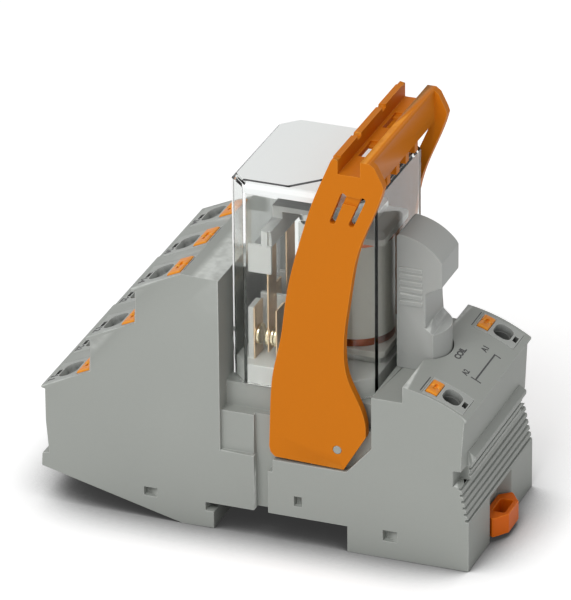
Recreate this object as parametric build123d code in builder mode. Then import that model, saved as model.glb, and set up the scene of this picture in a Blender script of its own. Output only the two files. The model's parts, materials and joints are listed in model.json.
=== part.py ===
from build123d import *
import math
import os

# Pluggable power relay in a terminal socket for a 35 mm mounting rail.
# Origin: centre of the rail seat. +X towards the coil terminals, +Z away from the rail, -Y is the front wall.
# Millimetres throughout.

# Socket, overall
SOCKET_WIDTH = 46.5
FOOT_DEPTH = 6.8
RAIL_WIDTH = 35.0
RAIL_CLEARANCE = 0.55
RAIL_LIP_GAP = 2.3
HOOK_REACH = 2.1
HOOK_WALL = 6.6
LEFT_REACH = 60.2
LEFT_FOOT_RISE = 2.4
LEFT_TIP_Z = 24.0

# Terminal stair: each step slopes down to the outside
STEP_RUN = 13.0
STEP_RISE = 5.9
STEP_COUNT = 3
RISER_HEIGHT = 9.1
TIP_LIP = 1.1
TIP_DROP = 0.7
TOWER_FACE_X = -14.1
TOWER_TOP_DROP = 0.3

# Relay bay between the tower and the coil block
DECK_Z = 31.2
NECK_SETBACK = 0.85
LEDGE_Z = 25.0
LEDGE_END_X = -5.9
LEDGE_SETBACK = 1.2
LEDGE_FOOT_Z = 14.6
RECESS_DEPTH = 2.5
RECESS_FLOOR_Z = 14.5
CHANNEL_LEFT_X = -5.6
CHANNEL_RIGHT_X = -2.1
CHANNEL_MOUTH_Z = 11.2
CHANNEL_MOUTH_WIDEN = 1.3

# Coil block on the right
COIL_BLOCK_X = 24.2
COIL_SEAT_Z = 35.4
COIL_RISE_X = 32.0
COIL_RISE_Z = 39.6
RIDGE_X = 48.2
RIDGE_Z = 33.5
RIDGE_CROWN = 0.9
RIDGE_LIP = 0.9
UPPER_WALL_X = 46.7
LOWER_WALL_X = 48.7
NOTCH_TOP_Z = 19.5
NOTCH_HEIGHT = 4.1
NOTCH_DEPTH = 2.0
NOTCH_LENGTH = 4.8
RIB_FOOT_Z = 5.9
RIB_COUNT = 8
RIB_DEPTH = 0.7
MARKER_LEDGE_Z = 21.6
MARKER_LEDGE_REACH = 2.0
MARKER_LEDGE_HEIGHT = 0.9
DIAGONAL_FOOT_X = 17.9
DIAGONAL_TOP_Z = 21.7

# Snap windows in both side walls: centre x, centre z, width, height
WINDOW_PLACES = [(-32.2, 0.2, 3.4, 2.3), (5.6, 4.3, 2.0, 2.6), (28.9, -0.8, 3.6, 2.8)]
WINDOW_DEPTH = 2.0
WINDOW_RAMP_DEPTH = 0.5
WINDOW_FLAT = 0.8

# Push-in terminals
HEEL_MARGIN = 0.5
INSERT_EDGE = 0.4
INSERT_DEPTH = 6.0
INSERT_GAP = 0.05
STAIR_SIDE_EDGE = 0.75
STAIR_INSERT_LENGTH = 12.4
STAIR_INSERT_WIDTH = 11.0
STAIR_BUTTON_LENGTH = 3.7
STAIR_BUTTON_WIDTH = 9.0
STAIR_MOUTH_LENGTH = 5.2
STAIR_MOUTH_WIDTH = 7.4
COIL_SIDE_EDGE = 0.95
COIL_MARGIN = 4.6
COIL_INSERT_LENGTH = 11.0
COIL_INSERT_WIDTH = 8.2
COIL_BUTTON_LENGTH = 2.9
COIL_BUTTON_WIDTH = 5.8
COIL_MOUTH_LENGTH = 4.8
COIL_MOUTH_WIDTH = 5.8
BUTTON_GAP = 0.12
BUTTON_PROUD = 0.4
BUTTON_EDGE = 0.3
BUTTON_CROSS = 0.8
BUTTON_CROSS_DEPTH = 0.6
BUTTON_TRAVEL = 1.2
FLANGE_HEIGHT = 1.0
FLANGE_STEP = 0.5
FLANGE_GAP = 0.1
PORT_GAP = 0.8
PORT_CORNER = 1.9
PORT_TAPER = 14.0
PORT_MOUTH_DEPTH = 1.6
PORT_THROAT_RADIUS = 2.1
TEST_SLOT_GAP = 0.4
TEST_SLOT_LENGTH = 1.1
TEST_SLOT_WIDTH = 2.4
TEST_SLOT_DEPTH = 3.0
CELL_DEPTH = 12.0
CELL_LEDGE = 0.35
SPRING_GAUGE = 0.4
BAR_GAUGE = 1.0
STRIP_WIDTH = 4.6

# Retaining bracket and its pivot studs
ARM_THICKNESS = 2.2
ARM_GAP = 0.2
PIVOT_X = 15.6
PIVOT_Z = 19.95
STUD_RADIUS = 1.05
STUD_CLEARANCE = 0.06
CROSS_LEFT_X = 14.2
CROSS_RIGHT_X = 24.2
CROSS_FLOOR_Z = 92.2
CROSS_FLOOR_THICKNESS = 1.4
CROSS_TOP_Z = 96.0
CROSS_FLANGE_LEFT = 1.9
CROSS_FLANGE_RIGHT = 2.6
CROSS_WINDOW_LENGTH = 7.2
CROSS_WINDOW_WIDTH = 3.8
CROSS_WINDOW_OFFSET = 8.4
CROSS_LEDGE = 2.0
CROSS_LEDGE_DEPTH = 0.6
CROSS_NOTCH = 1.0
SKIRT_DEPTH = 3.0
SKIRT_THICKNESS = 1.4
FINGER_GAP = 0.85
FINGER_WIDTH = 2.2
FINGER_LENGTH = 2.6
FINGER_OFFSETS = (-9.5, -3.2, 3.2, 9.5)
ARM_SLOT_WIDTH = 1.3
ARM_TONGUE_STEP = 0.6
ARM_TONGUE_RAMP = 2.4
PAD_LEFT_X = 0.2
PAD_LENGTH = 4.0
PAD_HEIGHT = 2.4
PAD_GAP = 0.15

# Plug-in relay
RELAY_LEFT_X = -13.6
RELAY_LENGTH = 36.6
RELAY_SIDE_GAP = 1.5
RELAY_TOP_Z = 84.0
RELAY_SEAT_GAP = 0.1
COVER_WALL = 1.1
COVER_CORNER = 4.5
COVER_TOP_EDGE = 0.9
COVER_FOOT = 0.4
BASE_HEIGHT = 5.2
BASE_GAP = 0.05
LABEL_THICKNESS = 0.3
LABEL_INSET = 1.2
BLADE_THICKNESS = 0.8
BLADE_WIDTH = 6.3
BLADE_LENGTH = 9.0
BLADE_ROOT = 3.0
BLADE_SLOT_LENGTH = 7.2
BLADE_SLOT_WIDTH = 3.2
BLADE_SLOT_DEPTH = 10.6
FORK_GAUGE = 0.4
FORK_PINCH_GAP = 0.05
POLE_MARGIN = 7.05
COIL_BLADE_X = 17.5
COIL_BLADE_OFFSET = 9.0

# Contacts: one fixed pair and one moving leaf for each pole
CONTACT_Z = 42.0
CONTACT_RADIUS = 2.6
CONTACT_THICKNESS = 0.8
OPEN_FACE_X = -7.1
CONTACT_TRAVEL = 1.6
CONTACT_REST_GAP = 0.1
LEAF_GAUGE = 0.35
LEAF_WIDTH = 5.4
FIXED_LEAF_TOP_Z = 50.0
POST_THICKNESS = 1.4
BARRIER_THICKNESS = 1.2
LEAF_ROOT = 1.5
COMMON_BLADE_X = 6.5

# Coil, yoke and armature
CORE_X = 12.0
CORE_RADIUS = 4.0
CORE_TOP_Z = 70.0
WINDING_RADIUS = 8.6
WINDING_GAP = 0.05
BOBBIN_TUBE = 0.9
BOBBIN_FLANGE = 1.6
BOBBIN_SIZE = 18.6
YOKE_THICKNESS = 2.0
YOKE_WIDTH = 16.0
YOKE_LEFT_X = 0.6
YOKE_TOP_GAP = 0.2
ARMATURE_THICKNESS = 1.8
ARMATURE_GAP = 0.85
ARMATURE_LENGTH = 17.0
ARMATURE_PIVOT_INSET = 1.4
ARMATURE_PIVOT_RADIUS = 0.28
ARMATURE_PIVOT_GAP = 0.06
CARRIER_LEFT_X = -6.0
CARRIER_BOTTOM_Z = 66.5
CARRIER_OVERHANG = 3.0
CARRIER_CAP = 1.4
CARRIER_BEAM = 4.4
CARRIER_RIGHT_X = -3.4
CARRIER_REACH_X = 6.0
PADDLE_LEFT_X = -9.1
PADDLE_RIGHT_X = -3.2
PADDLE_BOTTOM_Z = 59.9
PADDLE_HEIGHT = 7.3
PADDLE_THICKNESS = 0.8
PADDLE_STEM = 1.5
RETURN_SPRING_WIDTH = 6.0

# Plug-in indicator module
MODULE_X = 24.4
MODULE_WIDTH = 12.0
MODULE_TOP_Z = 70.5
MODULE_HEAD_REACH = 11.3
MODULE_BROW_Z = 65.2
MODULE_CHIN_Z = 57.8
MODULE_NECK = 7.3
MODULE_NECK_TOP_Z = 55.6
MODULE_NECK_FOOT_Z = 47.0
MODULE_FOOT_RADIUS = 9.0
MODULE_FOOT_REACH = 11.4
MODULE_FOOT_TOP_Z = 45.3
MODULE_SEAT_GAP = 0.1
MODULE_WELL_GAP = 0.35
MODULE_RIB_COUNT = 6
MODULE_RIB_PITCH = 1.75
MODULE_RIB_HEIGHT = 0.35
MODULE_RIB_LENGTH = 5.6
MODULE_RIB_TOP_Z = 61.6
MODULE_WALL = 1.2
MODULE_BASE_HEIGHT = 2.0
MODULE_BOARD_THICKNESS = 1.0
MODULE_PIN_RADIUS = 0.9
MODULE_PIN_LENGTH = 7.0
MODULE_PIN_X = 28.0
MODULE_PIN_OFFSET = 3.0
MODULE_PIN_HOLE = 1.25
LAMP_RADIUS = 1.4
LAMP_HEIGHT = 4.0
DIODE_RADIUS = 1.3
DIODE_LENGTH = 5.0

# Foot latch
LATCH_WIDTH = 9.6
LATCH_THICKNESS = 2.4
LATCH_TOP_Z = -2.4
LATCH_LIP = 1.9
LATCH_GAP = 0.2
LATCH_LOOP_INNER = 2.5
LATCH_LOOP_REACH = 3.3
LATCH_LOOP_WIDTH = 14.6
LATCH_LOOP_NOSE = 7.2
LATCH_LOOP_TOP_Z = -0.4
LATCH_LOOP_HEIGHT = 5.1
LATCH_SLOT_LENGTH = 6.6
LATCH_SLOT_WIDTH = 3.2
LATCH_POCKET_WIDTH = 15.8
LATCH_POCKET_INNER = 10.8
LATCH_POCKET_DEPTH = 3.0
LATCH_POCKET_TOP_Z = 5.4

os.makedirs("parts", exist_ok=True)

half_width = SOCKET_WIDTH / 2
recess_y = half_width - RECESS_DEPTH
rail_half = RAIL_WIDTH / 2 + RAIL_CLEARANCE
slope_angle = math.atan2(STEP_RISE, STEP_RUN)
coil_slope = math.atan2(COIL_RISE_Z - RIDGE_Z, RIDGE_X - COIL_RISE_X)
tread_depth = STEP_RUN - TIP_LIP
seat_z = DECK_Z + RELAY_SEAT_GAP
base_top_z = seat_z + BASE_HEIGHT
relay_x = RELAY_LEFT_X + RELAY_LENGTH / 2
arm_inner_y = recess_y + ARM_GAP
relay_half_width = arm_inner_y - RELAY_SIDE_GAP
neck_half_width = relay_half_width - NECK_SETBACK
pole_pitch = relay_half_width - POLE_MARGIN
carrier_half_width = pole_pitch + CARRIER_OVERHANG
stair_pitch = half_width - STAIR_SIDE_EDGE - STAIR_INSERT_WIDTH / 2
coil_offset = half_width - COIL_SIDE_EDGE - COIL_INSERT_WIDTH / 2
moving_face_x = OPEN_FACE_X + CONTACT_TRAVEL
moving_leaf_x = moving_face_x + CONTACT_THICKNESS
closed_face_x = moving_leaf_x + LEAF_GAUGE + CONTACT_THICKNESS + CONTACT_REST_GAP
armature_z = CORE_TOP_Z + ARMATURE_GAP
armature_top_z = armature_z + ARMATURE_THICKNESS
armature_pivot = (YOKE_LEFT_X + ARMATURE_PIVOT_INSET, armature_z - YOKE_TOP_GAP)
module_seat_z = COIL_SEAT_Z + MODULE_SEAT_GAP
poles = (-1, 0, 1)
sides = (-1, 1)


def save(part, name):
    """Label a finished piece and write it to its own file."""
    part.label = name
    export_step(part, f"parts/{name}.step")


def wall_plane(side, depth):
    """Sketch plane inside a side wall at a depth from its face, local x and y along +X and +Z."""
    return Plane(origin=(0, side * (half_width - depth), 0), x_dir=(1, 0, 0), z_dir=(0, -1, 0))


def outward(side, distance):
    """Extrusion amount from a wall plane to past the wall's face."""
    return -side * distance


def step_tip(index):
    """Outer tip of a step, from the lowest to the highest."""
    x = -LEFT_REACH + index * tread_depth
    z = LEFT_TIP_Z + index * (STEP_RISE + RISER_HEIGHT)
    return x, z


def step_heel(index):
    """Inner, upper end of a step."""
    x, z = step_tip(index)
    return x + STEP_RUN, z + STEP_RISE


def stair_place(row, column):
    """Plane of a stair insert: origin at its upper edge, local x down the slope, local z out of the face."""
    x, z = step_heel(row)
    cos, sin = math.cos(slope_angle), math.sin(slope_angle)
    origin = (x - HEEL_MARGIN * cos, column * stair_pitch, z - HEEL_MARGIN * sin)
    return Plane(origin=origin, x_dir=(-cos, 0, -sin), z_dir=(-sin, 0, cos))


def coil_place(side):
    """Plane of a coil insert, level with the middle of the crowned top."""
    cos, sin = math.cos(coil_slope), math.sin(coil_slope)
    origin = (
        COIL_RISE_X + COIL_MARGIN * cos + RIDGE_CROWN * sin,
        side * coil_offset,
        COIL_RISE_Z - COIL_MARGIN * sin + RIDGE_CROWN * cos,
    )
    return Plane(origin=origin, x_dir=(cos, 0, -sin), z_dir=(sin, 0, cos))


def section_of(plane):
    """The upright section plane through a terminal: local x down the slope, local y out of the face."""
    return Plane(origin=plane.origin, x_dir=plane.x_dir, z_dir=-plane.y_dir)


stair_terminals = {}
for row, contact in enumerate((1, 2, 4)):
    for column in poles:
        stair_terminals[f"{column + 2}{contact}"] = stair_place(row, column)
coil_terminals = {"a2": coil_place(-1), "a1": coil_place(1)}

stair_sizes = {
    "length": STAIR_INSERT_LENGTH,
    "width": STAIR_INSERT_WIDTH,
    "button_length": STAIR_BUTTON_LENGTH,
    "button_width": STAIR_BUTTON_WIDTH,
    "mouth_length": STAIR_MOUTH_LENGTH,
    "mouth_width": STAIR_MOUTH_WIDTH,
}
coil_sizes = {
    "length": COIL_INSERT_LENGTH,
    "width": COIL_INSERT_WIDTH,
    "button_length": COIL_BUTTON_LENGTH,
    "button_width": COIL_BUTTON_WIDTH,
    "mouth_length": COIL_MOUTH_LENGTH,
    "mouth_width": COIL_MOUTH_WIDTH,
}
terminals = [(name, plane, stair_sizes) for name, plane in stair_terminals.items()]
terminals += [(name, plane, coil_sizes) for name, plane in coil_terminals.items()]

blade_places = []
for pole in poles:
    for blade_x in (OPEN_FACE_X - CONTACT_THICKNESS, closed_face_x + CONTACT_THICKNESS, COMMON_BLADE_X):
        blade_places.append((blade_x, pole * pole_pitch))
for side in sides:
    blade_places.append((COIL_BLADE_X, side * COIL_BLADE_OFFSET))

# Cuts in both side walls: relay neck, ledge, arm recess, channel, snap windows and end notches
neck_depth = half_width - neck_half_width
notch_foot_z = NOTCH_TOP_Z - NOTCH_HEIGHT
with BuildPart() as wall_cuts:
    for side in sides:
        with BuildSketch(wall_plane(side, neck_depth)):
            with BuildLine():
                Polyline(
                    (TOWER_FACE_X, LEDGE_Z),
                    (COIL_BLOCK_X, LEDGE_Z),
                    (COIL_BLOCK_X, DECK_Z + 1),
                    (TOWER_FACE_X, DECK_Z + 1),
                    close=True,
                )
            make_face()
        extrude(amount=outward(side, neck_depth + 1))
        with BuildSketch(wall_plane(side, LEDGE_SETBACK)):
            with BuildLine():
                Polyline(
                    (TOWER_FACE_X, LEDGE_FOOT_Z),
                    (LEDGE_END_X, LEDGE_FOOT_Z),
                    (LEDGE_END_X, LEDGE_Z + 1),
                    (TOWER_FACE_X, LEDGE_Z + 1),
                    close=True,
                )
            make_face()
        extrude(amount=outward(side, LEDGE_SETBACK + 1))
        with BuildSketch(wall_plane(side, RECESS_DEPTH)):
            with BuildLine():
                Polyline(
                    (LEDGE_END_X, RECESS_FLOOR_Z),
                    (DIAGONAL_FOOT_X, RECESS_FLOOR_Z),
                    (COIL_BLOCK_X, DIAGONAL_TOP_Z),
                    (COIL_BLOCK_X, LEDGE_Z + 1),
                    (LEDGE_END_X, LEDGE_Z + 1),
                    close=True,
                )
            make_face()
            with BuildLine():
                Polyline(
                    (CHANNEL_LEFT_X, -1),
                    (CHANNEL_RIGHT_X, -1),
                    (CHANNEL_RIGHT_X, CHANNEL_MOUTH_Z),
                    (CHANNEL_RIGHT_X + CHANNEL_MOUTH_WIDEN, CHANNEL_MOUTH_Z),
                    (CHANNEL_RIGHT_X + CHANNEL_MOUTH_WIDEN, RECESS_FLOOR_Z + 1),
                    (CHANNEL_LEFT_X, RECESS_FLOOR_Z + 1),
                    close=True,
                )
            make_face()
        extrude(amount=outward(side, RECESS_DEPTH + 1))
        for window_x, window_z, window_width, window_height in WINDOW_PLACES:
            with BuildSketch(Plane(origin=(window_x, side * half_width, window_z))):
                with BuildLine():
                    Polyline(
                        (-window_width / 2, side),
                        (window_width / 2, side),
                        (window_width / 2, -side * WINDOW_RAMP_DEPTH),
                        (-window_width / 2 + WINDOW_FLAT, -side * WINDOW_DEPTH),
                        (-window_width / 2, -side * WINDOW_DEPTH),
                        close=True,
                    )
                make_face()
            extrude(amount=window_height / 2, both=True)
        with BuildSketch(Plane.XY.offset(notch_foot_z)):
            with Locations((UPPER_WALL_X, side * (half_width - NOTCH_LENGTH / 2 + 0.5))):
                Rectangle(2 * NOTCH_DEPTH, NOTCH_LENGTH + 1)
        extrude(amount=NOTCH_HEIGHT)

# Grip grooves across the sloping wall under the marker ledge
ledge_length = SOCKET_WIDTH - 2 * NOTCH_LENGTH
rib_pitch = (MARKER_LEDGE_Z - MARKER_LEDGE_HEIGHT - 1.6 - RIB_FOOT_Z) / RIB_COUNT
with BuildPart() as rib_grooves:
    for rib in range(RIB_COUNT):
        groove_z = RIB_FOOT_Z + (rib + 0.5) * rib_pitch
        on_ledge = groove_z > notch_foot_z
        share = (notch_foot_z - groove_z) / (notch_foot_z - RIB_FOOT_Z)
        slope_x = UPPER_WALL_X + (LOWER_WALL_X - UPPER_WALL_X) * max(share, 0.0)
        face_x = UPPER_WALL_X + MARKER_LEDGE_REACH / 2 if on_ledge else slope_x
        run = ledge_length if on_ledge else SOCKET_WIDTH + 2
        with BuildSketch(Plane.XZ):
            with BuildLine():
                Polyline(
                    (face_x + 2.2, groove_z + rib_pitch * 0.4),
                    (face_x - RIB_DEPTH, groove_z + rib_pitch * 0.15),
                    (face_x - RIB_DEPTH, groove_z - rib_pitch * 0.15),
                    (face_x + 2.2, groove_z - rib_pitch * 0.4),
                    close=True,
                )
            make_face()
        extrude(amount=run / 2, both=True)

# Pocket and guide of the foot latch
latch_bottom_z = LATCH_TOP_Z - LATCH_THICKNESS
with BuildPart() as latch_cuts:
    with BuildSketch(Plane.XY.offset(-FOOT_DEPTH - 1)):
        with BuildLine():
            Polyline(
                (LOWER_WALL_X, -LATCH_POCKET_WIDTH / 2),
                (LOWER_WALL_X - LATCH_POCKET_DEPTH, -LATCH_POCKET_INNER / 2),
                (LOWER_WALL_X - LATCH_POCKET_DEPTH, LATCH_POCKET_INNER / 2),
                (LOWER_WALL_X, LATCH_POCKET_WIDTH / 2),
                (LOWER_WALL_X + 1, LATCH_POCKET_WIDTH / 2),
                (LOWER_WALL_X + 1, -LATCH_POCKET_WIDTH / 2),
                close=True,
            )
        make_face()
    extrude(amount=LATCH_POCKET_TOP_Z + FOOT_DEPTH + 1)
    with BuildSketch(Plane.XY.offset(latch_bottom_z - LATCH_GAP)):
        with Locations(((rail_half + LOWER_WALL_X) / 2, 0)):
            Rectangle(LOWER_WALL_X - rail_half + 2, LATCH_WIDTH + 2 * LATCH_GAP)
    extrude(amount=LATCH_THICKNESS + 2 * LATCH_GAP)

# Terminal cells: a seat for each insert and a slightly smaller cell for its spring
with BuildPart() as terminal_cells:
    for name, plane, size in terminals:
        middle = size["length"] / 2
        with BuildSketch(plane.offset(RIDGE_CROWN)):
            with Locations((middle, 0)):
                Rectangle(size["length"] + 2 * INSERT_GAP, size["width"] + 2 * INSERT_GAP)
        extrude(amount=-INSERT_DEPTH - RIDGE_CROWN)
        with BuildSketch(plane.offset(-INSERT_DEPTH)):
            with Locations((middle, 0)):
                Rectangle(size["length"] - 2 * CELL_LEDGE, size["width"] - 2 * CELL_LEDGE)
        extrude(amount=-CELL_DEPTH)

# Slots for the relay blades, well and pin holes for the indicator module
foot_x = MODULE_X + MODULE_FOOT_REACH - MODULE_FOOT_RADIUS
with BuildPart() as deck_cuts:
    with BuildSketch(Plane.XY.offset(DECK_Z - BLADE_SLOT_DEPTH)):
        with Locations(*blade_places):
            Rectangle(BLADE_SLOT_WIDTH, BLADE_SLOT_LENGTH)
    extrude(amount=BLADE_SLOT_DEPTH)
    with BuildSketch(Plane.XY.offset(COIL_SEAT_Z)):
        with Locations((foot_x, 0)):
            Circle(MODULE_FOOT_RADIUS + MODULE_WELL_GAP)
    extrude(amount=COIL_RISE_Z - COIL_SEAT_Z + 2)
    with BuildSketch(Plane.XY.offset(COIL_SEAT_Z - MODULE_PIN_LENGTH - 1)):
        with Locations((MODULE_PIN_X, -MODULE_PIN_OFFSET), (MODULE_PIN_X, MODULE_PIN_OFFSET)):
            Circle(MODULE_PIN_HOLE)
    extrude(amount=MODULE_PIN_LENGTH + 1)

apex_x, apex_z = step_heel(STEP_COUNT - 1)
crown_middle = (
    (COIL_RISE_X + RIDGE_X) / 2 + RIDGE_CROWN * math.sin(coil_slope),
    (COIL_RISE_Z + RIDGE_Z) / 2 + RIDGE_CROWN * math.cos(coil_slope),
)

# Socket housing
with BuildPart() as socket_housing:
    with BuildSketch(Plane.XZ):
        with BuildLine():
            outline = [
                (-rail_half + HOOK_REACH, -FOOT_DEPTH),
                (-rail_half - HOOK_WALL, -FOOT_DEPTH),
                (-LEFT_REACH - 0.3, LEFT_FOOT_RISE),
                (-LEFT_REACH - 0.1, LEFT_FOOT_RISE + 3.4),
                (-LEFT_REACH + 1.7, LEFT_FOOT_RISE + 3.9),
                (-LEFT_REACH + 1.0, LEFT_TIP_Z - 9.0),
            ]
            for step in range(STEP_COUNT):
                tip_x, tip_z = step_tip(step)
                outline.append((tip_x + TIP_LIP - 0.1, tip_z - TIP_DROP))
                outline.append((tip_x, tip_z - 0.4))
                outline.append((tip_x + 0.1, tip_z))
                outline.append(step_heel(step))
            outline += [
                (TOWER_FACE_X, apex_z - TOWER_TOP_DROP),
                (TOWER_FACE_X, DECK_Z),
                (COIL_BLOCK_X, DECK_Z),
                (COIL_BLOCK_X, COIL_SEAT_Z),
                (COIL_RISE_X, COIL_SEAT_Z),
                (COIL_RISE_X, COIL_RISE_Z),
            ]
            Polyline(outline)
            ThreePointArc((COIL_RISE_X, COIL_RISE_Z), crown_middle, (RIDGE_X, RIDGE_Z))
            Polyline(
                (RIDGE_X, RIDGE_Z),
                (RIDGE_X, RIDGE_Z - 0.5),
                (RIDGE_X - RIDGE_LIP, RIDGE_Z - 0.9),
                (UPPER_WALL_X, NOTCH_TOP_Z),
                (UPPER_WALL_X, notch_foot_z),
                (LOWER_WALL_X, RIB_FOOT_Z),
                (LOWER_WALL_X, -FOOT_DEPTH),
                (rail_half, -FOOT_DEPTH),
                (rail_half, 0),
                (-rail_half, 0),
                (-rail_half, -RAIL_LIP_GAP),
                (-rail_half + HOOK_REACH, -RAIL_LIP_GAP),
                (-rail_half + HOOK_REACH, -FOOT_DEPTH),
            )
        make_face()
    extrude(amount=half_width, both=True)
    with BuildSketch(Plane.XZ):
        with BuildLine():
            Polyline(
                (UPPER_WALL_X - 1, MARKER_LEDGE_Z + 1.2),
                (UPPER_WALL_X + 0.3, MARKER_LEDGE_Z + 1.2),
                (UPPER_WALL_X + MARKER_LEDGE_REACH, MARKER_LEDGE_Z),
                (UPPER_WALL_X + MARKER_LEDGE_REACH, MARKER_LEDGE_Z - MARKER_LEDGE_HEIGHT),
                (UPPER_WALL_X + MARKER_LEDGE_REACH / 2, MARKER_LEDGE_Z - MARKER_LEDGE_HEIGHT - 1.4),
                (UPPER_WALL_X + MARKER_LEDGE_REACH / 3, notch_foot_z),
                (UPPER_WALL_X - 1, notch_foot_z),
                close=True,
            )
        make_face()
    extrude(amount=ledge_length / 2, both=True)
    add(wall_cuts.part, mode=Mode.SUBTRACT)
    add(rib_grooves.part, mode=Mode.SUBTRACT)
    add(latch_cuts.part, mode=Mode.SUBTRACT)
    add(terminal_cells.part, mode=Mode.SUBTRACT)
    add(deck_cuts.part, mode=Mode.SUBTRACT)
    for side in sides:
        with BuildSketch(wall_plane(side, RECESS_DEPTH)):
            with Locations((PIVOT_X, PIVOT_Z)):
                Circle(STUD_RADIUS)
        extrude(amount=outward(side, RECESS_DEPTH - 0.05))
save(socket_housing.part, "socket_housing")

# Prism under the crowned top, which gives the coil inserts their curved faces
with BuildPart() as crown_body:
    with BuildSketch(Plane.XZ):
        with BuildLine():
            ThreePointArc((COIL_RISE_X, COIL_RISE_Z), crown_middle, (RIDGE_X, RIDGE_Z))
            Polyline((RIDGE_X, RIDGE_Z), (RIDGE_X, 0), (COIL_RISE_X, 0), (COIL_RISE_X, COIL_RISE_Z))
        make_face()
    extrude(amount=half_width, both=True)


def window_span(size):
    """Ends of a terminal's button window along the slope."""
    return INSERT_EDGE, INSERT_EDGE + size["button_length"] + 2 * BUTTON_GAP


def mouth_span(size):
    """Ends of a terminal's wire mouth along the slope."""
    start = window_span(size)[1] + PORT_GAP
    return start, start + size["mouth_length"]


def insert_block(plane, size):
    """Terminal insert: button window, funnel mouth with a round throat, and test slot."""
    window_start, window_end = window_span(size)
    mouth_start, mouth_end = mouth_span(size)
    mouth_middle = (mouth_start + mouth_end) / 2
    with BuildPart() as block:
        with BuildSketch(plane.offset(-INSERT_DEPTH)):
            with Locations((size["length"] / 2, 0)):
                Rectangle(size["length"], size["width"])
            with Locations(((window_start + window_end) / 2, 0)):
                Rectangle(window_end - window_start, size["button_width"] + 2 * BUTTON_GAP, mode=Mode.SUBTRACT)
            with Locations((mouth_middle, 0)):
                Circle(PORT_THROAT_RADIUS, mode=Mode.SUBTRACT)
        extrude(amount=INSERT_DEPTH)
        with BuildSketch(plane):
            with Locations((mouth_middle, 0)):
                RectangleRounded(size["mouth_length"], size["mouth_width"], PORT_CORNER)
        extrude(amount=-PORT_MOUTH_DEPTH, taper=PORT_TAPER, mode=Mode.SUBTRACT)
        slot_x = mouth_end + TEST_SLOT_GAP + TEST_SLOT_LENGTH / 2
        with BuildSketch(plane):
            with Locations((slot_x, 0)):
                Rectangle(TEST_SLOT_LENGTH, TEST_SLOT_WIDTH)
        extrude(amount=-TEST_SLOT_DEPTH, mode=Mode.SUBTRACT)
    return block.part


def press_button(plane, size):
    """Release button with a screwdriver cross and two flanges that hold it under the insert."""
    window_start, window_end = window_span(size)
    middle = (window_start + window_end) / 2
    stem_length = INSERT_DEPTH + FLANGE_GAP + FLANGE_HEIGHT
    with BuildPart() as button:
        with BuildSketch(plane.offset(-stem_length)):
            with Locations((middle, 0)):
                Rectangle(size["button_length"], size["button_width"])
        extrude(amount=stem_length + BUTTON_PROUD)
        with BuildSketch(plane.offset(-stem_length)):
            with Locations((middle, 0)):
                Rectangle(size["button_length"], size["button_width"] + 2 * FLANGE_STEP)
        extrude(amount=FLANGE_HEIGHT)
        chamfer(button.faces().sort_by(Axis(plane.origin, plane.z_dir))[-1].edges(), BUTTON_EDGE)
        with BuildSketch(plane.offset(BUTTON_PROUD)):
            with Locations((middle, 0)):
                Rectangle(size["button_length"] + 1, BUTTON_CROSS)
                Rectangle(BUTTON_CROSS, size["button_width"] * 0.45)
        extrude(amount=-BUTTON_CROSS_DEPTH, mode=Mode.SUBTRACT)
    return button.part


def clamp_spring(plane, size):
    """Bent clamp spring under the button, clear of the wire's way."""
    reach = sum(mouth_span(size)) / 2 - PORT_THROAT_RADIUS - 0.3
    top = -INSERT_DEPTH - FLANGE_GAP - FLANGE_HEIGHT - BUTTON_TRAVEL - 0.2
    foot = -INSERT_DEPTH - CELL_DEPTH + 0.8
    with BuildPart() as spring:
        with BuildSketch(section_of(plane)):
            with BuildLine():
                Polyline(
                    (0.8, top),
                    (0.8, foot + 0.8),
                    (2.0, foot),
                    (3.0, foot + 0.6),
                    (reach, top - 1.0),
                    (reach - SPRING_GAUGE, top - 1.2),
                    (2.8, foot + 1.2),
                    (2.0, foot + SPRING_GAUGE),
                    (0.8 + SPRING_GAUGE, foot + 1.0),
                    (0.8 + SPRING_GAUGE, top),
                    close=True,
                )
            make_face()
        extrude(amount=STRIP_WIDTH / 2, both=True)
    return spring.part


def current_bar(plane, size):
    """L-shaped current bar behind the wire's way, under the test slot."""
    outer = size["length"] - CELL_LEDGE - 0.3
    foot = -INSERT_DEPTH - CELL_DEPTH + 0.1
    with BuildPart() as bar:
        with BuildSketch(section_of(plane)):
            with BuildLine():
                Polyline(
                    (outer, -INSERT_DEPTH - 0.3),
                    (outer, foot),
                    (outer - 5.5, foot),
                    (outer - 5.5, foot + BAR_GAUGE),
                    (outer - BAR_GAUGE, foot + BAR_GAUGE),
                    (outer - BAR_GAUGE, -INSERT_DEPTH - 0.3),
                    close=True,
                )
            make_face()
        extrude(amount=STRIP_WIDTH / 2, both=True)
    return bar.part


# Terminal inserts, one group for each row of the stair and one for the coil
row_names = ("lower", "middle", "upper")
for row, contact in enumerate((1, 2, 4)):
    blocks = [insert_block(stair_terminals[f"{pole}{contact}"], stair_sizes) for pole in (1, 2, 3)]
    save(Compound(children=blocks), f"terminal_inserts_{row_names[row]}")
coil_blocks = []
for plane in coil_terminals.values():
    with BuildPart() as coil_block:
        add(insert_block(plane, coil_sizes))
        add(crown_body.part, mode=Mode.INTERSECT)
    coil_blocks.append(coil_block.part)
save(Compound(children=coil_blocks), "terminal_inserts_coil")

# Release buttons, each its own moving piece
for name, plane, size in terminals:
    save(press_button(plane, size), f"button_{name}")

# Clamp springs and current bars inside the terminal cells
springs = [clamp_spring(plane, size) for name, plane, size in terminals]
save(Compound(children=springs), "clamp_springs")
bars = [current_bar(plane, size) for name, plane, size in terminals]
save(Compound(children=bars), "current_bars")

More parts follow.
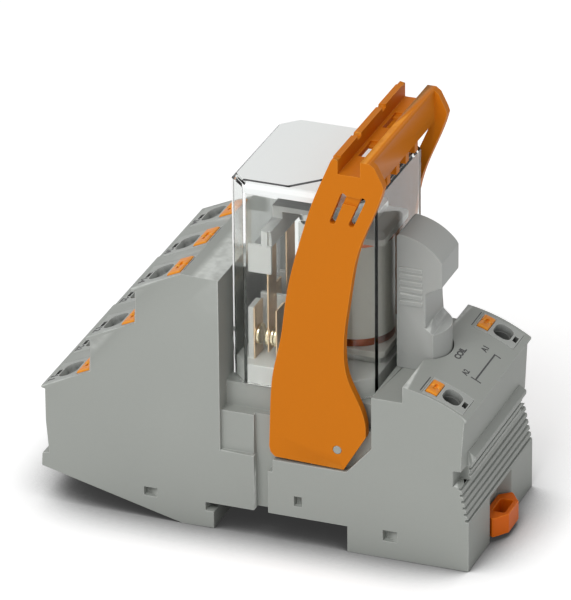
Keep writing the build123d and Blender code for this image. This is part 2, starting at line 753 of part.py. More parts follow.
# Spring clips that grip the relay blades under the deck
with BuildPart() as blade_clips:
    clip_foot_z = DECK_Z - BLADE_SLOT_DEPTH + 0.1
    leaf_offset = BLADE_THICKNESS / 2 + FORK_PINCH_GAP + FORK_GAUGE / 2
    with BuildSketch(Plane.XY.offset(clip_foot_z)):
        with Locations(*blade_places):
            Rectangle(2 * leaf_offset + FORK_GAUGE, BLADE_WIDTH - 0.3)
    extrude(amount=FORK_GAUGE)
    with BuildSketch(Plane.XY.offset(clip_foot_z)):
        with Locations(*[(x + shift, y) for x, y in blade_places for shift in (-leaf_offset, leaf_offset)]):
            Rectangle(FORK_GAUGE, BLADE_WIDTH - 0.3)
    extrude(amount=BLADE_SLOT_DEPTH - 1.2)
save(blade_clips.part, "blade_clips")

# Foot latch: sliding tongue with a lip under the rail and a finger loop outside
with BuildPart() as foot_latch:
    lip_x = rail_half - LATCH_LIP
    with BuildSketch(Plane.XY.offset(latch_bottom_z)):
        with BuildLine():
            Polyline(
                (lip_x + 1.0, -LATCH_WIDTH / 2),
                (lip_x, -LATCH_WIDTH / 2 + 1.0),
                (lip_x, LATCH_WIDTH / 2 - 1.0),
                (lip_x + 1.0, LATCH_WIDTH / 2),
                (LOWER_WALL_X - 1, LATCH_WIDTH / 2),
                (LOWER_WALL_X - 1, -LATCH_WIDTH / 2),
                close=True,
            )
        make_face()
    extrude(amount=LATCH_THICKNESS)
    loop_inner_x = LOWER_WALL_X - LATCH_LOOP_INNER
    loop_outer_x = LOWER_WALL_X + LATCH_LOOP_REACH
    with BuildSketch(Plane.XY.offset(LATCH_LOOP_TOP_Z - LATCH_LOOP_HEIGHT)):
        with BuildLine():
            Polyline(
                (loop_inner_x, -LATCH_LOOP_WIDTH / 2 + 2.4),
                (LOWER_WALL_X + 0.3, -LATCH_LOOP_WIDTH / 2),
                (LOWER_WALL_X + 0.9, -LATCH_LOOP_WIDTH / 2 + 0.4),
                (loop_outer_x - 0.5, -LATCH_LOOP_NOSE / 2 - 0.6),
                (loop_outer_x, -LATCH_LOOP_NOSE / 2),
                (loop_outer_x, LATCH_LOOP_NOSE / 2),
                (loop_outer_x - 0.5, LATCH_LOOP_NOSE / 2 + 0.6),
                (LOWER_WALL_X + 0.9, LATCH_LOOP_WIDTH / 2 - 0.4),
                (LOWER_WALL_X + 0.3, LATCH_LOOP_WIDTH / 2),
                (loop_inner_x, LATCH_LOOP_WIDTH / 2 - 2.4),
                close=True,
            )
        make_face()
    extrude(amount=LATCH_LOOP_HEIGHT)
    slot_x = loop_outer_x - 1.2 - LATCH_SLOT_WIDTH / 2
    with BuildSketch(Plane.XY.offset(LATCH_LOOP_TOP_Z)):
        with Locations((slot_x, 0)):
            RectangleRounded(LATCH_SLOT_WIDTH, LATCH_SLOT_LENGTH, 0.6)
    extrude(amount=-LATCH_LOOP_HEIGHT, mode=Mode.SUBTRACT)
save(foot_latch.part, "foot_latch")

# Retaining bracket: two arms, a channel between them, hold-down fingers and ejector pads
ARM_LEFT_EDGE = [
    (14.4, 95.4),
    (12.1, 89.9),
    (9.6, 83.5),
    (7.4, 76.3),
    (2.9, 57.5),
    (1.4, 46.4),
    (-0.4, 38.2),
    (-1.3, 27.0),
    (-1.6, 18.1),
]
ARM_RIGHT_EDGE = [
    (22.8, 27.2),
    (20.9, 33.5),
    (18.2, 39.6),
    (17.4, 45.6),
    (17.6, 51.3),
    (18.8, 60.2),
    (21.0, 72.5),
    (23.5, 79.4),
    (26.4, 86.7),
    (27.4, 90.2),
]
ARM_SLOTS = [((14.5, 79.2), (17.6, 87.4)), ((19.2, 79.1), (22.5, 86.9))]

arm_outer_y = arm_inner_y + ARM_THICKNESS
finger_bottom_z = RELAY_TOP_Z + FINGER_GAP
floor_bottom_z = CROSS_FLOOR_Z - CROSS_FLOOR_THICKNESS
with BuildPart() as arm:
    with BuildSketch(Plane.XZ.offset(arm_inner_y)):
        with BuildLine():
            Spline(*ARM_LEFT_EDGE)
            Polyline(ARM_LEFT_EDGE[-1], (-1.3, 16.6), (-0.2, 15.5), (17.2, 15.0), (22.8, 24.5), ARM_RIGHT_EDGE[0])
            Spline(*ARM_RIGHT_EDGE)
            Polyline(
                ARM_RIGHT_EDGE[-1],
                (26.9, 91.6),
                (25.2, 95.0),
                (CROSS_RIGHT_X - 0.3, CROSS_TOP_Z),
                (CROSS_RIGHT_X - CROSS_FLANGE_RIGHT, CROSS_TOP_Z),
                (CROSS_RIGHT_X - CROSS_FLANGE_RIGHT, CROSS_FLOOR_Z),
                (CROSS_LEFT_X + CROSS_FLANGE_LEFT, CROSS_FLOOR_Z),
                (CROSS_LEFT_X + CROSS_FLANGE_LEFT, CROSS_TOP_Z - 0.3),
                (CROSS_LEFT_X + 0.6, CROSS_TOP_Z),
                ARM_LEFT_EDGE[0],
            )
        make_face()
        with Locations((PIVOT_X, PIVOT_Z)):
            Circle(STUD_RADIUS + STUD_CLEARANCE, mode=Mode.SUBTRACT)
        for (low_x, low_z), (high_x, high_z) in ARM_SLOTS:
            lean = math.degrees(math.atan2(high_z - low_z, high_x - low_x))
            with Locations(Location(((low_x + high_x) / 2, (low_z + high_z) / 2, 0), (0, 0, lean))):
                SlotOverall(math.hypot(high_x - low_x, high_z - low_z), ARM_SLOT_WIDTH, mode=Mode.SUBTRACT)
    extrude(amount=ARM_THICKNESS)
    with BuildSketch(Plane.XZ.offset(arm_outer_y)):
        with BuildLine():
            tongue_left, tongue_right = ARM_SLOTS[0][1], ARM_SLOTS[1][1]
            Polyline(
                (tongue_left[0] - 0.4, tongue_left[1] - 0.3),
                (tongue_right[0] - 0.4, tongue_right[1] - 0.3),
                (tongue_right[0] - 1.4, tongue_right[1] - ARM_TONGUE_RAMP),
                (tongue_left[0] - 1.4, tongue_left[1] - ARM_TONGUE_RAMP),
                close=True,
            )
        make_face()
    extrude(amount=-ARM_TONGUE_STEP, mode=Mode.SUBTRACT)
    with BuildSketch(Plane.XZ.offset(arm_inner_y)):
        with BuildLine():
            Polyline(
                (PAD_LEFT_X, seat_z + COVER_FOOT - 0.1 - PAD_HEIGHT),
                (PAD_LEFT_X, seat_z + COVER_FOOT - 0.5),
                (PAD_LEFT_X + 0.4, seat_z + COVER_FOOT - 0.1),
                (PAD_LEFT_X + PAD_LENGTH * 0.5, seat_z + COVER_FOOT - 0.1),
                (PAD_LEFT_X + PAD_LENGTH, seat_z + COVER_FOOT - 0.7),
                (PAD_LEFT_X + PAD_LENGTH, seat_z + COVER_FOOT - 0.1 - PAD_HEIGHT),
                close=True,
            )
        make_face()
    extrude(amount=neck_half_width + PAD_GAP - arm_inner_y)
with BuildPart() as retaining_bracket:
    add(arm.part)
    mirror(arm.part, about=Plane.XZ)
    with BuildSketch(Plane.XZ):
        with BuildLine():
            Polyline(
                (CROSS_LEFT_X, floor_bottom_z),
                (CROSS_LEFT_X, CROSS_TOP_Z - 0.4),
                (CROSS_LEFT_X + 0.3, CROSS_TOP_Z),
                (CROSS_LEFT_X + CROSS_FLANGE_LEFT, CROSS_TOP_Z),
                (CROSS_LEFT_X + CROSS_FLANGE_LEFT, CROSS_FLOOR_Z),
                (CROSS_RIGHT_X - CROSS_FLANGE_RIGHT, CROSS_FLOOR_Z),
                (CROSS_RIGHT_X - CROSS_FLANGE_RIGHT, CROSS_TOP_Z),
                (CROSS_RIGHT_X - 0.3, CROSS_TOP_Z),
                (CROSS_RIGHT_X, CROSS_TOP_Z - 0.4),
                (CROSS_RIGHT_X, floor_bottom_z - SKIRT_DEPTH),
                (CROSS_RIGHT_X - SKIRT_THICKNESS, floor_bottom_z - SKIRT_DEPTH),
                (CROSS_RIGHT_X - SKIRT_THICKNESS, floor_bottom_z),
                close=True,
            )
        make_face()
    extrude(amount=arm_inner_y, both=True)
    finger_right_x = CROSS_RIGHT_X - 0.4
    with BuildSketch(Plane.XY.offset(finger_bottom_z)):
        with Locations(*[(finger_right_x - FINGER_LENGTH / 2, y) for y in FINGER_OFFSETS]):
            Rectangle(FINGER_LENGTH, FINGER_WIDTH)
    extrude(amount=floor_bottom_z - finger_bottom_z + 0.5)
    with BuildSketch(Plane.XY.offset(floor_bottom_z)):
        with Locations(*[(CROSS_LEFT_X + 4.7, side * CROSS_WINDOW_OFFSET) for side in sides]):
            Rectangle(CROSS_WINDOW_WIDTH, CROSS_WINDOW_LENGTH)
    extrude(amount=CROSS_FLOOR_THICKNESS, mode=Mode.SUBTRACT)
    with BuildSketch(Plane.XY.offset(CROSS_FLOOR_Z)):
        with Locations(*[(CROSS_LEFT_X + 4.7, side * CROSS_WINDOW_OFFSET + CROSS_LEDGE / 2) for side in sides]):
            Rectangle(CROSS_WINDOW_WIDTH, CROSS_WINDOW_LENGTH + CROSS_LEDGE)
    extrude(amount=-CROSS_LEDGE_DEPTH, mode=Mode.SUBTRACT)
    with BuildSketch(Plane.YZ.offset(CROSS_LEFT_X - 0.5)):
        with Locations(*[(side * CROSS_WINDOW_OFFSET, CROSS_TOP_Z) for side in sides]):
            Rectangle(2.4, 2 * CROSS_NOTCH)
    extrude(amount=CROSS_FLANGE_LEFT + 0.5, mode=Mode.SUBTRACT)
save(retaining_bracket.part, "retaining_bracket")


def relay_block(inset, bottom, top):
    """Block of the relay's plan shape with its four corners cut off, set in from the outside."""
    corner = COVER_CORNER - inset * 0.6
    with BuildPart() as block:
        with BuildSketch(Plane.XY.offset(bottom)):
            with Locations((relay_x, 0)):
                Rectangle(RELAY_LENGTH - 2 * inset, 2 * relay_half_width - 2 * inset)
            chamfer(vertices(), corner)
        extrude(amount=top - bottom)
    return block.part


# Clear relay cover, its top label and the base that carries everything inside
with BuildPart() as relay_cover:
    add(relay_block(0, seat_z + COVER_FOOT, RELAY_TOP_Z))
    chamfer(relay_cover.faces().sort_by(Axis.Z)[-1].edges(), COVER_TOP_EDGE)
    add(relay_block(COVER_WALL, seat_z + COVER_FOOT - 1, RELAY_TOP_Z - COVER_WALL), mode=Mode.SUBTRACT)
save(relay_cover.part, "relay_cover")

save(relay_block(LABEL_INSET, RELAY_TOP_Z, RELAY_TOP_Z + LABEL_THICKNESS), "relay_label")

base_inset = COVER_WALL + BASE_GAP
open_leaf_x = OPEN_FACE_X - CONTACT_THICKNESS - LEAF_GAUGE / 2
closed_leaf_x = closed_face_x + CONTACT_THICKNESS + LEAF_GAUGE / 2
moving_leaf_mid_x = moving_leaf_x + LEAF_GAUGE / 2
wall_offset = pole_pitch / 2
base_wall_left = open_leaf_x - 1.6
base_wall_length = closed_leaf_x - open_leaf_x + 3.2
with BuildPart() as relay_base:
    add(relay_block(base_inset, seat_z, base_top_z))
    with BuildSketch(Plane.XY.offset(base_top_z)):
        with Locations(*[(base_wall_left + base_wall_length / 2, side * wall_offset) for side in sides]):
            Rectangle(base_wall_length, BARRIER_THICKNESS)
        with Locations(*[(base_wall_left + 0.7, pole * pole_pitch) for pole in poles]):
            Rectangle(POST_THICKNESS, LEAF_WIDTH)
    extrude(amount=FIXED_LEAF_TOP_Z - base_top_z)
    with BuildSketch(Plane.XY.offset(seat_z)):
        with Locations(*blade_places):
            Rectangle(BLADE_THICKNESS + 2 * BASE_GAP, BLADE_WIDTH + 2 * BASE_GAP)
    extrude(amount=BLADE_ROOT, mode=Mode.SUBTRACT)
save(relay_base.part, "relay_base")

# Plug-in blades under the base
with BuildPart() as relay_blades:
    with BuildSketch(Plane.XY.offset(seat_z - BLADE_LENGTH)):
        with Locations(*blade_places):
            Rectangle(BLADE_THICKNESS, BLADE_WIDTH)
    extrude(amount=BLADE_LENGTH + BLADE_ROOT - BASE_GAP)
save(relay_blades.part, "relay_blades")

# Fixed contact leaves and their silver contacts, one normally open and one normally closed for each pole
with BuildPart() as fixed_leaves:
    with BuildSketch(Plane.XY.offset(base_top_z + 0.02)):
        with Locations(*[(x, pole * pole_pitch) for pole in poles for x in (open_leaf_x, closed_leaf_x)]):
            Rectangle(LEAF_GAUGE, LEAF_WIDTH)
    extrude(amount=FIXED_LEAF_TOP_Z - base_top_z)
save(fixed_leaves.part, "fixed_leaves")


def contact_row(face_x, thickness):
    """Contact discs of all poles, from a face towards +X."""
    with BuildPart() as discs:
        with BuildSketch(Plane.YZ.offset(face_x)):
            with Locations(*[(pole * pole_pitch, CONTACT_Z) for pole in poles]):
                Circle(CONTACT_RADIUS)
        extrude(amount=thickness)
    return discs.part


save(contact_row(OPEN_FACE_X, -CONTACT_THICKNESS), "open_contacts")
save(contact_row(closed_face_x, CONTACT_THICKNESS), "closed_contacts")
with BuildPart() as moving_contacts:
    add(contact_row(moving_face_x, CONTACT_THICKNESS))
    add(contact_row(moving_leaf_x + LEAF_GAUGE, CONTACT_THICKNESS))
save(moving_contacts.part, "moving_contacts")

# Moving leaves, which hang from the carrier
with BuildPart() as moving_leaves:
    with BuildSketch(Plane.XY.offset(CONTACT_Z - CONTACT_RADIUS - 0.6)):
        with Locations(*[(moving_leaf_mid_x, pole * pole_pitch) for pole in poles]):
            Rectangle(LEAF_GAUGE, LEAF_WIDTH)
    extrude(amount=CARRIER_BOTTOM_Z + LEAF_ROOT - CONTACT_Z + CONTACT_RADIUS + 0.6)
save(moving_leaves.part, "moving_leaves")

# Coil: yoke, core, bobbin and winding
yoke_foot_z = base_top_z + 0.05
core_foot_z = yoke_foot_z + YOKE_THICKNESS
with BuildPart() as yoke:
    with BuildSketch(Plane.XZ):
        with BuildLine():
            Polyline(
                (YOKE_LEFT_X, yoke_foot_z),
                (YOKE_LEFT_X, armature_z - YOKE_TOP_GAP),
                (YOKE_LEFT_X + YOKE_THICKNESS, armature_z - YOKE_TOP_GAP),
                (YOKE_LEFT_X + YOKE_THICKNESS, core_foot_z),
                (CORE_X + BOBBIN_SIZE / 2 - 1, core_foot_z),
                (CORE_X + BOBBIN_SIZE / 2 - 1, yoke_foot_z),
                close=True,
            )
        make_face()
    extrude(amount=YOKE_WIDTH / 2, both=True)
    with BuildSketch(Plane.XZ):
        with Locations(armature_pivot):
            Circle(ARMATURE_PIVOT_RADIUS + ARMATURE_PIVOT_GAP)
    extrude(amount=YOKE_WIDTH / 2, both=True, mode=Mode.SUBTRACT)
save(yoke.part, "yoke")

with BuildPart() as iron_core:
    with BuildSketch(Plane.XY.offset(core_foot_z + 0.02)):
        with Locations((CORE_X, 0)):
            Circle(CORE_RADIUS)
    extrude(amount=CORE_TOP_Z - core_foot_z - 0.02)
save(iron_core.part, "iron_core")

bobbin_foot_z = core_foot_z + 0.1
bobbin_top_z = CORE_TOP_Z - 0.3
bobbin_x = CORE_X + 0.3
with BuildPart() as coil_bobbin:
    with BuildSketch(Plane.XY.offset(bobbin_foot_z)):
        with Locations((bobbin_x, 0)):
            RectangleRounded(BOBBIN_SIZE, BOBBIN_SIZE, 1.5)
    extrude(amount=BOBBIN_FLANGE)
    with BuildSketch(Plane.XY.offset(bobbin_top_z)):
        with Locations((bobbin_x, 0)):
            RectangleRounded(BOBBIN_SIZE, BOBBIN_SIZE, 1.5)
    extrude(amount=-BOBBIN_FLANGE)
    with BuildSketch(Plane.XY.offset(bobbin_foot_z)):
        with Locations((CORE_X, 0)):
            Circle(CORE_RADIUS + WINDING_GAP + BOBBIN_TUBE)
    extrude(amount=bobbin_top_z - bobbin_foot_z)
    with BuildSketch(Plane.XY.offset(bobbin_foot_z)):
        with Locations((CORE_X, 0)):
            Circle(CORE_RADIUS + WINDING_GAP)
    extrude(amount=bobbin_top_z - bobbin_foot_z, mode=Mode.SUBTRACT)
save(coil_bobbin.part, "coil_bobbin")

with BuildPart() as coil_winding:
    with BuildSketch(Plane.XY.offset(bobbin_foot_z + BOBBIN_FLANGE + WINDING_GAP)):
        with Locations((CORE_X, 0)):
            Circle(WINDING_RADIUS)
            Circle(CORE_RADIUS + 2 * WINDING_GAP + BOBBIN_TUBE, mode=Mode.SUBTRACT)
    extrude(amount=bobbin_top_z - bobbin_foot_z - 2 * BOBBIN_FLANGE - 2 * WINDING_GAP)
save(coil_winding.part, "coil_winding")

# Armature over the core and the insulating carrier that hangs from it, with its square end flags
with BuildPart() as armature:
    with BuildSketch(Plane.XY.offset(armature_z)):
        with Locations((YOKE_LEFT_X + ARMATURE_LENGTH / 2 - 0.4, 0)):
            RectangleRounded(ARMATURE_LENGTH, YOKE_WIDTH - 1, 1.5)
    extrude(amount=ARMATURE_THICKNESS)
    with BuildSketch(Plane.XZ):
        with Locations(armature_pivot):
            Circle(ARMATURE_PIVOT_RADIUS)
    extrude(amount=YOKE_WIDTH / 2 - 1.5, both=True)
save(armature.part, "armature")

with BuildPart() as contact_carrier:
    with BuildSketch(Plane.XZ):
        with BuildLine():
            Polyline(
                (CARRIER_LEFT_X, CARRIER_BOTTOM_Z),
                (CARRIER_LEFT_X, armature_top_z + 0.02 + CARRIER_CAP),
                (CARRIER_REACH_X, armature_top_z + 0.02 + CARRIER_CAP),
                (CARRIER_REACH_X, armature_top_z + 0.02),
                (CARRIER_RIGHT_X, armature_top_z + 0.02),
                (CARRIER_RIGHT_X, CARRIER_BOTTOM_Z),
                close=True,
            )
        make_face()
    extrude(amount=YOKE_WIDTH / 2, both=True)
    with BuildSketch(Plane.XY.offset(CARRIER_BOTTOM_Z)):
        with Locations(((CARRIER_LEFT_X + CARRIER_RIGHT_X) / 2, 0)):
            Rectangle(CARRIER_RIGHT_X - CARRIER_LEFT_X, 2 * carrier_half_width)
    extrude(amount=CARRIER_BEAM)
    for side in sides:
        with BuildSketch(Plane.XZ.offset(-side * carrier_half_width)):
            with BuildLine():
                Polyline(
                    (PADDLE_LEFT_X, PADDLE_BOTTOM_Z),
                    (PADDLE_LEFT_X, PADDLE_BOTTOM_Z + PADDLE_HEIGHT),
                    (CARRIER_LEFT_X + 0.4, PADDLE_BOTTOM_Z + PADDLE_HEIGHT),
                    (CARRIER_LEFT_X + 0.4, CARRIER_BOTTOM_Z + CARRIER_BEAM),
                    (CARRIER_LEFT_X + 0.4 + PADDLE_STEM, CARRIER_BOTTOM_Z + CARRIER_BEAM),
                    (CARRIER_LEFT_X + 0.4 + PADDLE_STEM, PADDLE_BOTTOM_Z + PADDLE_HEIGHT),
                    (PADDLE_RIGHT_X, PADDLE_BOTTOM_Z + PADDLE_HEIGHT),
                    (PADDLE_RIGHT_X, PADDLE_BOTTOM_Z),
                    close=True,
                )
            make_face()
        extrude(amount=-side * PADDLE_THICKNESS)
    with BuildSketch(Plane.XY.offset(CARRIER_BOTTOM_Z)):
        with Locations(*[(moving_leaf_mid_x, pole * pole_pitch) for pole in poles]):
            Rectangle(LEAF_GAUGE + 0.04, LEAF_WIDTH + 0.04)
    extrude(amount=LEAF_ROOT + 0.02, mode=Mode.SUBTRACT)
save(contact_carrier.part, "contact_carrier")

with BuildPart() as return_spring:
    with BuildSketch(Plane.YZ.offset(YOKE_LEFT_X - 0.02)):
        with Locations((0, armature_z - 8.4)):
            Rectangle(RETURN_SPRING_WIDTH, 16.0)
            Circle(1.2, mode=Mode.SUBTRACT)
    extrude(amount=-LEAF_GAUGE)
save(return_spring.part, "return_spring")

# Indicator module: hollow case, base with two pins, board, lamp and diode
module_right_x = MODULE_X + MODULE_HEAD_REACH
neck_x = MODULE_X + MODULE_NECK
cavity_y = MODULE_WIDTH - 2 * MODULE_WALL
with BuildPart() as module_case:
    with BuildSketch(Plane.XZ):
        with BuildLine():
            Polyline((MODULE_X, module_seat_z), (MODULE_X, MODULE_TOP_Z - 0.6), (MODULE_X + 0.6, MODULE_TOP_Z))
            ThreePointArc(
                (MODULE_X + 0.6, MODULE_TOP_Z),
                (MODULE_X + MODULE_HEAD_REACH * 0.56, MODULE_TOP_Z - 1.7),
                (module_right_x - 0.5, MODULE_BROW_Z),
            )
            Polyline(
                (module_right_x - 0.5, MODULE_BROW_Z),
                (module_right_x, MODULE_BROW_Z - 0.8),
                (module_right_x, MODULE_CHIN_Z),
                (neck_x, MODULE_NECK_TOP_Z),
                (neck_x, MODULE_NECK_FOOT_Z),
                (neck_x + 1.8, MODULE_FOOT_TOP_Z),
                (MODULE_X + MODULE_FOOT_REACH, MODULE_FOOT_TOP_Z),
                (MODULE_X + MODULE_FOOT_REACH, module_seat_z),
                (MODULE_X, module_seat_z),
            )
        make_face()
    extrude(amount=MODULE_WIDTH / 2, both=True)
    with BuildSketch(Plane.XY.offset(module_seat_z)):
        with Locations((foot_x + 10, 0)):
            Rectangle(40, MODULE_WIDTH + 2)
        with Locations((foot_x, 0)):
            Circle(MODULE_FOOT_RADIUS, mode=Mode.SUBTRACT)
        with Locations((foot_x - 20 + MODULE_FOOT_RADIUS * 0.5, 0)):
            Rectangle(40, MODULE_WIDTH + 4, mode=Mode.SUBTRACT)
    extrude(amount=MODULE_NECK_FOOT_Z - module_seat_z - 0.2, mode=Mode.SUBTRACT)
    with BuildSketch(Plane.XZ):
        for rib in range(MODULE_RIB_COUNT):
            with Locations((MODULE_X + 0.8 + MODULE_RIB_LENGTH / 2, MODULE_RIB_TOP_Z - rib * MODULE_RIB_PITCH)):
                Rectangle(MODULE_RIB_LENGTH, MODULE_RIB_PITCH * 0.5)
    extrude(amount=MODULE_WIDTH / 2 + MODULE_RIB_HEIGHT, both=True)
    with BuildSketch(Plane.XY.offset(module_seat_z)):
        with Locations(((MODULE_X + neck_x) / 2, 0)):
            Rectangle(MODULE_NECK - 2 * MODULE_WALL, cavity_y)
    extrude(amount=MODULE_TOP_Z - 5.5 - module_seat_z, mode=Mode.SUBTRACT)
save(module_case.part, "module_case")

with BuildPart() as module_base:
    with BuildSketch(Plane.XY.offset(module_seat_z)):
        with Locations(((MODULE_X + neck_x) / 2, 0)):
            Rectangle(MODULE_NECK - 2 * MODULE_WALL - 0.04, cavity_y - 0.04)
        with Locations((MODULE_PIN_X, -MODULE_PIN_OFFSET), (MODULE_PIN_X, MODULE_PIN_OFFSET)):
            Circle(MODULE_PIN_RADIUS + 0.02, mode=Mode.SUBTRACT)
    extrude(amount=MODULE_BASE_HEIGHT)
save(module_base.part, "module_base")

with BuildPart() as module_pins:
    with BuildSketch(Plane.XY.offset(module_seat_z - MODULE_PIN_LENGTH)):
        with Locations((MODULE_PIN_X, -MODULE_PIN_OFFSET), (MODULE_PIN_X, MODULE_PIN_OFFSET)):
            Circle(MODULE_PIN_RADIUS)
    extrude(amount=MODULE_PIN_LENGTH + MODULE_BASE_HEIGHT)
save(module_pins.part, "module_pins")

board_foot_z = module_seat_z + MODULE_BASE_HEIGHT + 0.1
board_x = MODULE_X + MODULE_WALL + 0.9
with BuildPart() as module_board:
    with BuildSketch(Plane.YZ.offset(board_x)):
        with Locations((0, board_foot_z + 12)):
            Rectangle(cavity_y - 0.4, 24)
    extrude(amount=MODULE_BOARD_THICKNESS)
save(module_board.part, "module_board")

board_face_x = board_x + MODULE_BOARD_THICKNESS + 0.02
with BuildPart() as module_diode:
    with BuildSketch(Plane.XY.offset(board_foot_z + 4)):
        with Locations((board_face_x + DIODE_RADIUS, -2.2)):
            Circle(DIODE_RADIUS)
    extrude(amount=DIODE_LENGTH)
save(module_diode.part, "module_diode")

with BuildPart() as module_lamp:
    with BuildSketch(Plane.XY.offset(board_foot_z + 19)):
        with Locations((board_face_x + LAMP_RADIUS, 0)):
            Circle(LAMP_RADIUS)
    extrude(amount=LAMP_HEIGHT)
    fillet(module_lamp.faces().sort_by(Axis.Z)[-1].edges(), LAMP_RADIUS * 0.9)
save(module_lamp.part, "module_lamp")
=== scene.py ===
"""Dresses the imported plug-in relay and its rail socket, and lights them as a plain studio shot."""

from __future__ import annotations

import json
import logging
import math
from dataclasses import dataclass, field
from enum import Enum
from typing import Sequence

import bmesh
import bpy
from mathutils import Matrix, Vector

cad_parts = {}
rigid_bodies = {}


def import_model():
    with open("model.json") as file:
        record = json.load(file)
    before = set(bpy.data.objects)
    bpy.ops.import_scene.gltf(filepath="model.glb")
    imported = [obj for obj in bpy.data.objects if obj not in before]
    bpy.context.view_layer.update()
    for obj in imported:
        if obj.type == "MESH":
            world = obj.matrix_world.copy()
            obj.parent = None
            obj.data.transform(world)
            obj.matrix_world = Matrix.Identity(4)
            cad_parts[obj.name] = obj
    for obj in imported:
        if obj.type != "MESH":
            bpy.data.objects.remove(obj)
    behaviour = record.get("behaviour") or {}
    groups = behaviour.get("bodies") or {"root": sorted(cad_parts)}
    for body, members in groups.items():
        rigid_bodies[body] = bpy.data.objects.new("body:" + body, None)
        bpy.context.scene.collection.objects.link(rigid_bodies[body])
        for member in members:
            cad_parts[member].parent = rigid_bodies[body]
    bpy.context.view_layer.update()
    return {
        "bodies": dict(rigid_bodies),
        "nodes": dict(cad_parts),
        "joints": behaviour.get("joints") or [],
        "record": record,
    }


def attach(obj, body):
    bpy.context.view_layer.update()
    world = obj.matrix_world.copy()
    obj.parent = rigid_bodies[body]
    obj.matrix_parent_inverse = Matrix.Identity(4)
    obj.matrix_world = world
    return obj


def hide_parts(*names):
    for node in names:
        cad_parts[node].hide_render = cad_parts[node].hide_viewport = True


LOG = logging.getLogger("relay_scene")
MM = 0.001
# An edge beside another one limits its rounding where the sine between them is over this
TURN_SHARE = 0.5
# The share of the room beside an edge that its rounding may take
ROOM_SHARE = 0.2
# Two edges run on into each other where the cosine between their ways is under minus this
RUN_ON = 0.7
# The least rounding that is made, in millimetres, and as a share of the one that is wanted
LEAST_ROUNDING = 0.1
LEAST_SHARE = 0.8
# Faces that meet at less than these angles are one smooth surface, and one flat face
CREASE = math.radians(24)
FLAT = math.radians(0.6)
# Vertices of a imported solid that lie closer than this, in metres, are one
SAME_PLACE = 2e-6
# How far print stands above its surface and reaches into it, in millimetres
INK_HEIGHT = 0.03
INK_DEPTH = 0.02
Colour = tuple[float, float, float]
Point = tuple[float, float]
Spot = tuple[float, float, float]
Inputs = dict[str | int, object]
Piece = bpy.types.Object
Node = bpy.types.Node
Socket = bpy.types.NodeSocket
Tree = bpy.types.NodeTree
Edge = bmesh.types.BMEdge


class Side(Enum):
    """The two side walls of the socket, by the sign of Y."""

    FRONT = -1
    BACK = 1


class Rounding(Enum):
    """How far the edges of a moulded or cut piece are rounded, in millimetres."""

    CRISP = 0.06
    FINE = 0.12
    SOFT = 0.22
    FULL = 0.35


@dataclass(frozen=True)
class Place:
    """A flat place on the object: an origin in millimetres and two directions in the surface."""

    origin: Spot
    along: Spot
    up: Spot

    def matrix(self) -> Matrix:
        """Work out the place's matrix.

        Returns:
            The matrix from the place's own axes, in millimetres, to the part's frame in metres.
        """
        x = Vector(self.along).normalized()
        y = Vector(self.up).normalized()
        turn = Matrix((x, y, x.cross(y))).transposed().to_4x4()
        return Matrix.Translation(Vector(self.origin) * MM) @ turn @ Matrix.Scale(MM, 4)


@dataclass(frozen=True)
class Wiring:
    """Adds nodes to a tree and links their sockets."""

    tree: Tree

    def fill(self, node: Node, values: Inputs) -> None:
        """Link or set a node's inputs.

        Args:
            node: The node.
            values: By the input's name or number, a socket to link from or a plain value.
        """
        for label, value in values.items():
            if isinstance(value, Socket):
                self.tree.links.new(value, node.inputs[label])
            else:
                node.inputs[label].default_value = value

    def add(self, kind: str, values: Inputs | None = None, **options: object) -> Node:
        """Add a node.

        Args:
            kind: The node's type.
            values: What its inputs get, as in fill.
            options: The node's own options.

        Returns:
            The node.
        """
        node = self.tree.nodes.new(kind)
        for label, option in options.items():
            setattr(node, label, option)
        self.fill(node, values or {})
        return node

    def maths(self, operation: str, *terms: object) -> Socket:
        """Return the result of a calculation on sockets and numbers."""
        return self.add("ShaderNodeMath", dict(enumerate(terms)), operation=operation).outputs[0]

    def scaled(self, colour: Socket, amount: Socket) -> Socket:
        """Return a colour made lighter or darker by an amount."""
        return self.add("ShaderNodeVectorMath", {0: colour, "Scale": amount}, operation="SCALE").outputs[0]

    def mixed(self, amount: Socket, first: object, second: object) -> Socket:
        """Return the mix of two colours."""
        values = {"Factor": amount, "A": first, "B": second}
        return self.add("ShaderNodeMix", values, data_type="RGBA").outputs["Result"]

    def noise(
        self, where: Socket, scale: object, detail: float = 2.0, roughness: float = 0.5
    ) -> Socket:
        """Return a noise value at a place."""
        values = {"Vector": where, "Scale": scale, "Detail": detail, "Roughness": roughness}
        return self.add("ShaderNodeTexNoise", values).outputs["Fac"]

    def object_place(self) -> Socket:
        """Return the place on the object that is shaded."""
        return self.add("ShaderNodeTexCoord").outputs["Object"]

    def ranged(
        self, value: Socket, given: Point, wanted: Point = (0.0, 1.0), kind: str = "LINEAR"
    ) -> Socket:
        """Return a value brought from one range to another.

        Args:
            value: The value's socket.
            given: The range that it has.
            wanted: The range that it gets, and is held to.
            kind: How it runs between the ends.

        Returns:
            The new value's socket.
        """
        labels = ("Value", "From Min", "From Max", "To Min", "To Max")
        values = dict(zip(labels, (value, *given, *wanted)))
        return self.add("ShaderNodeMapRange", values, interpolation_type=kind).outputs["Result"]


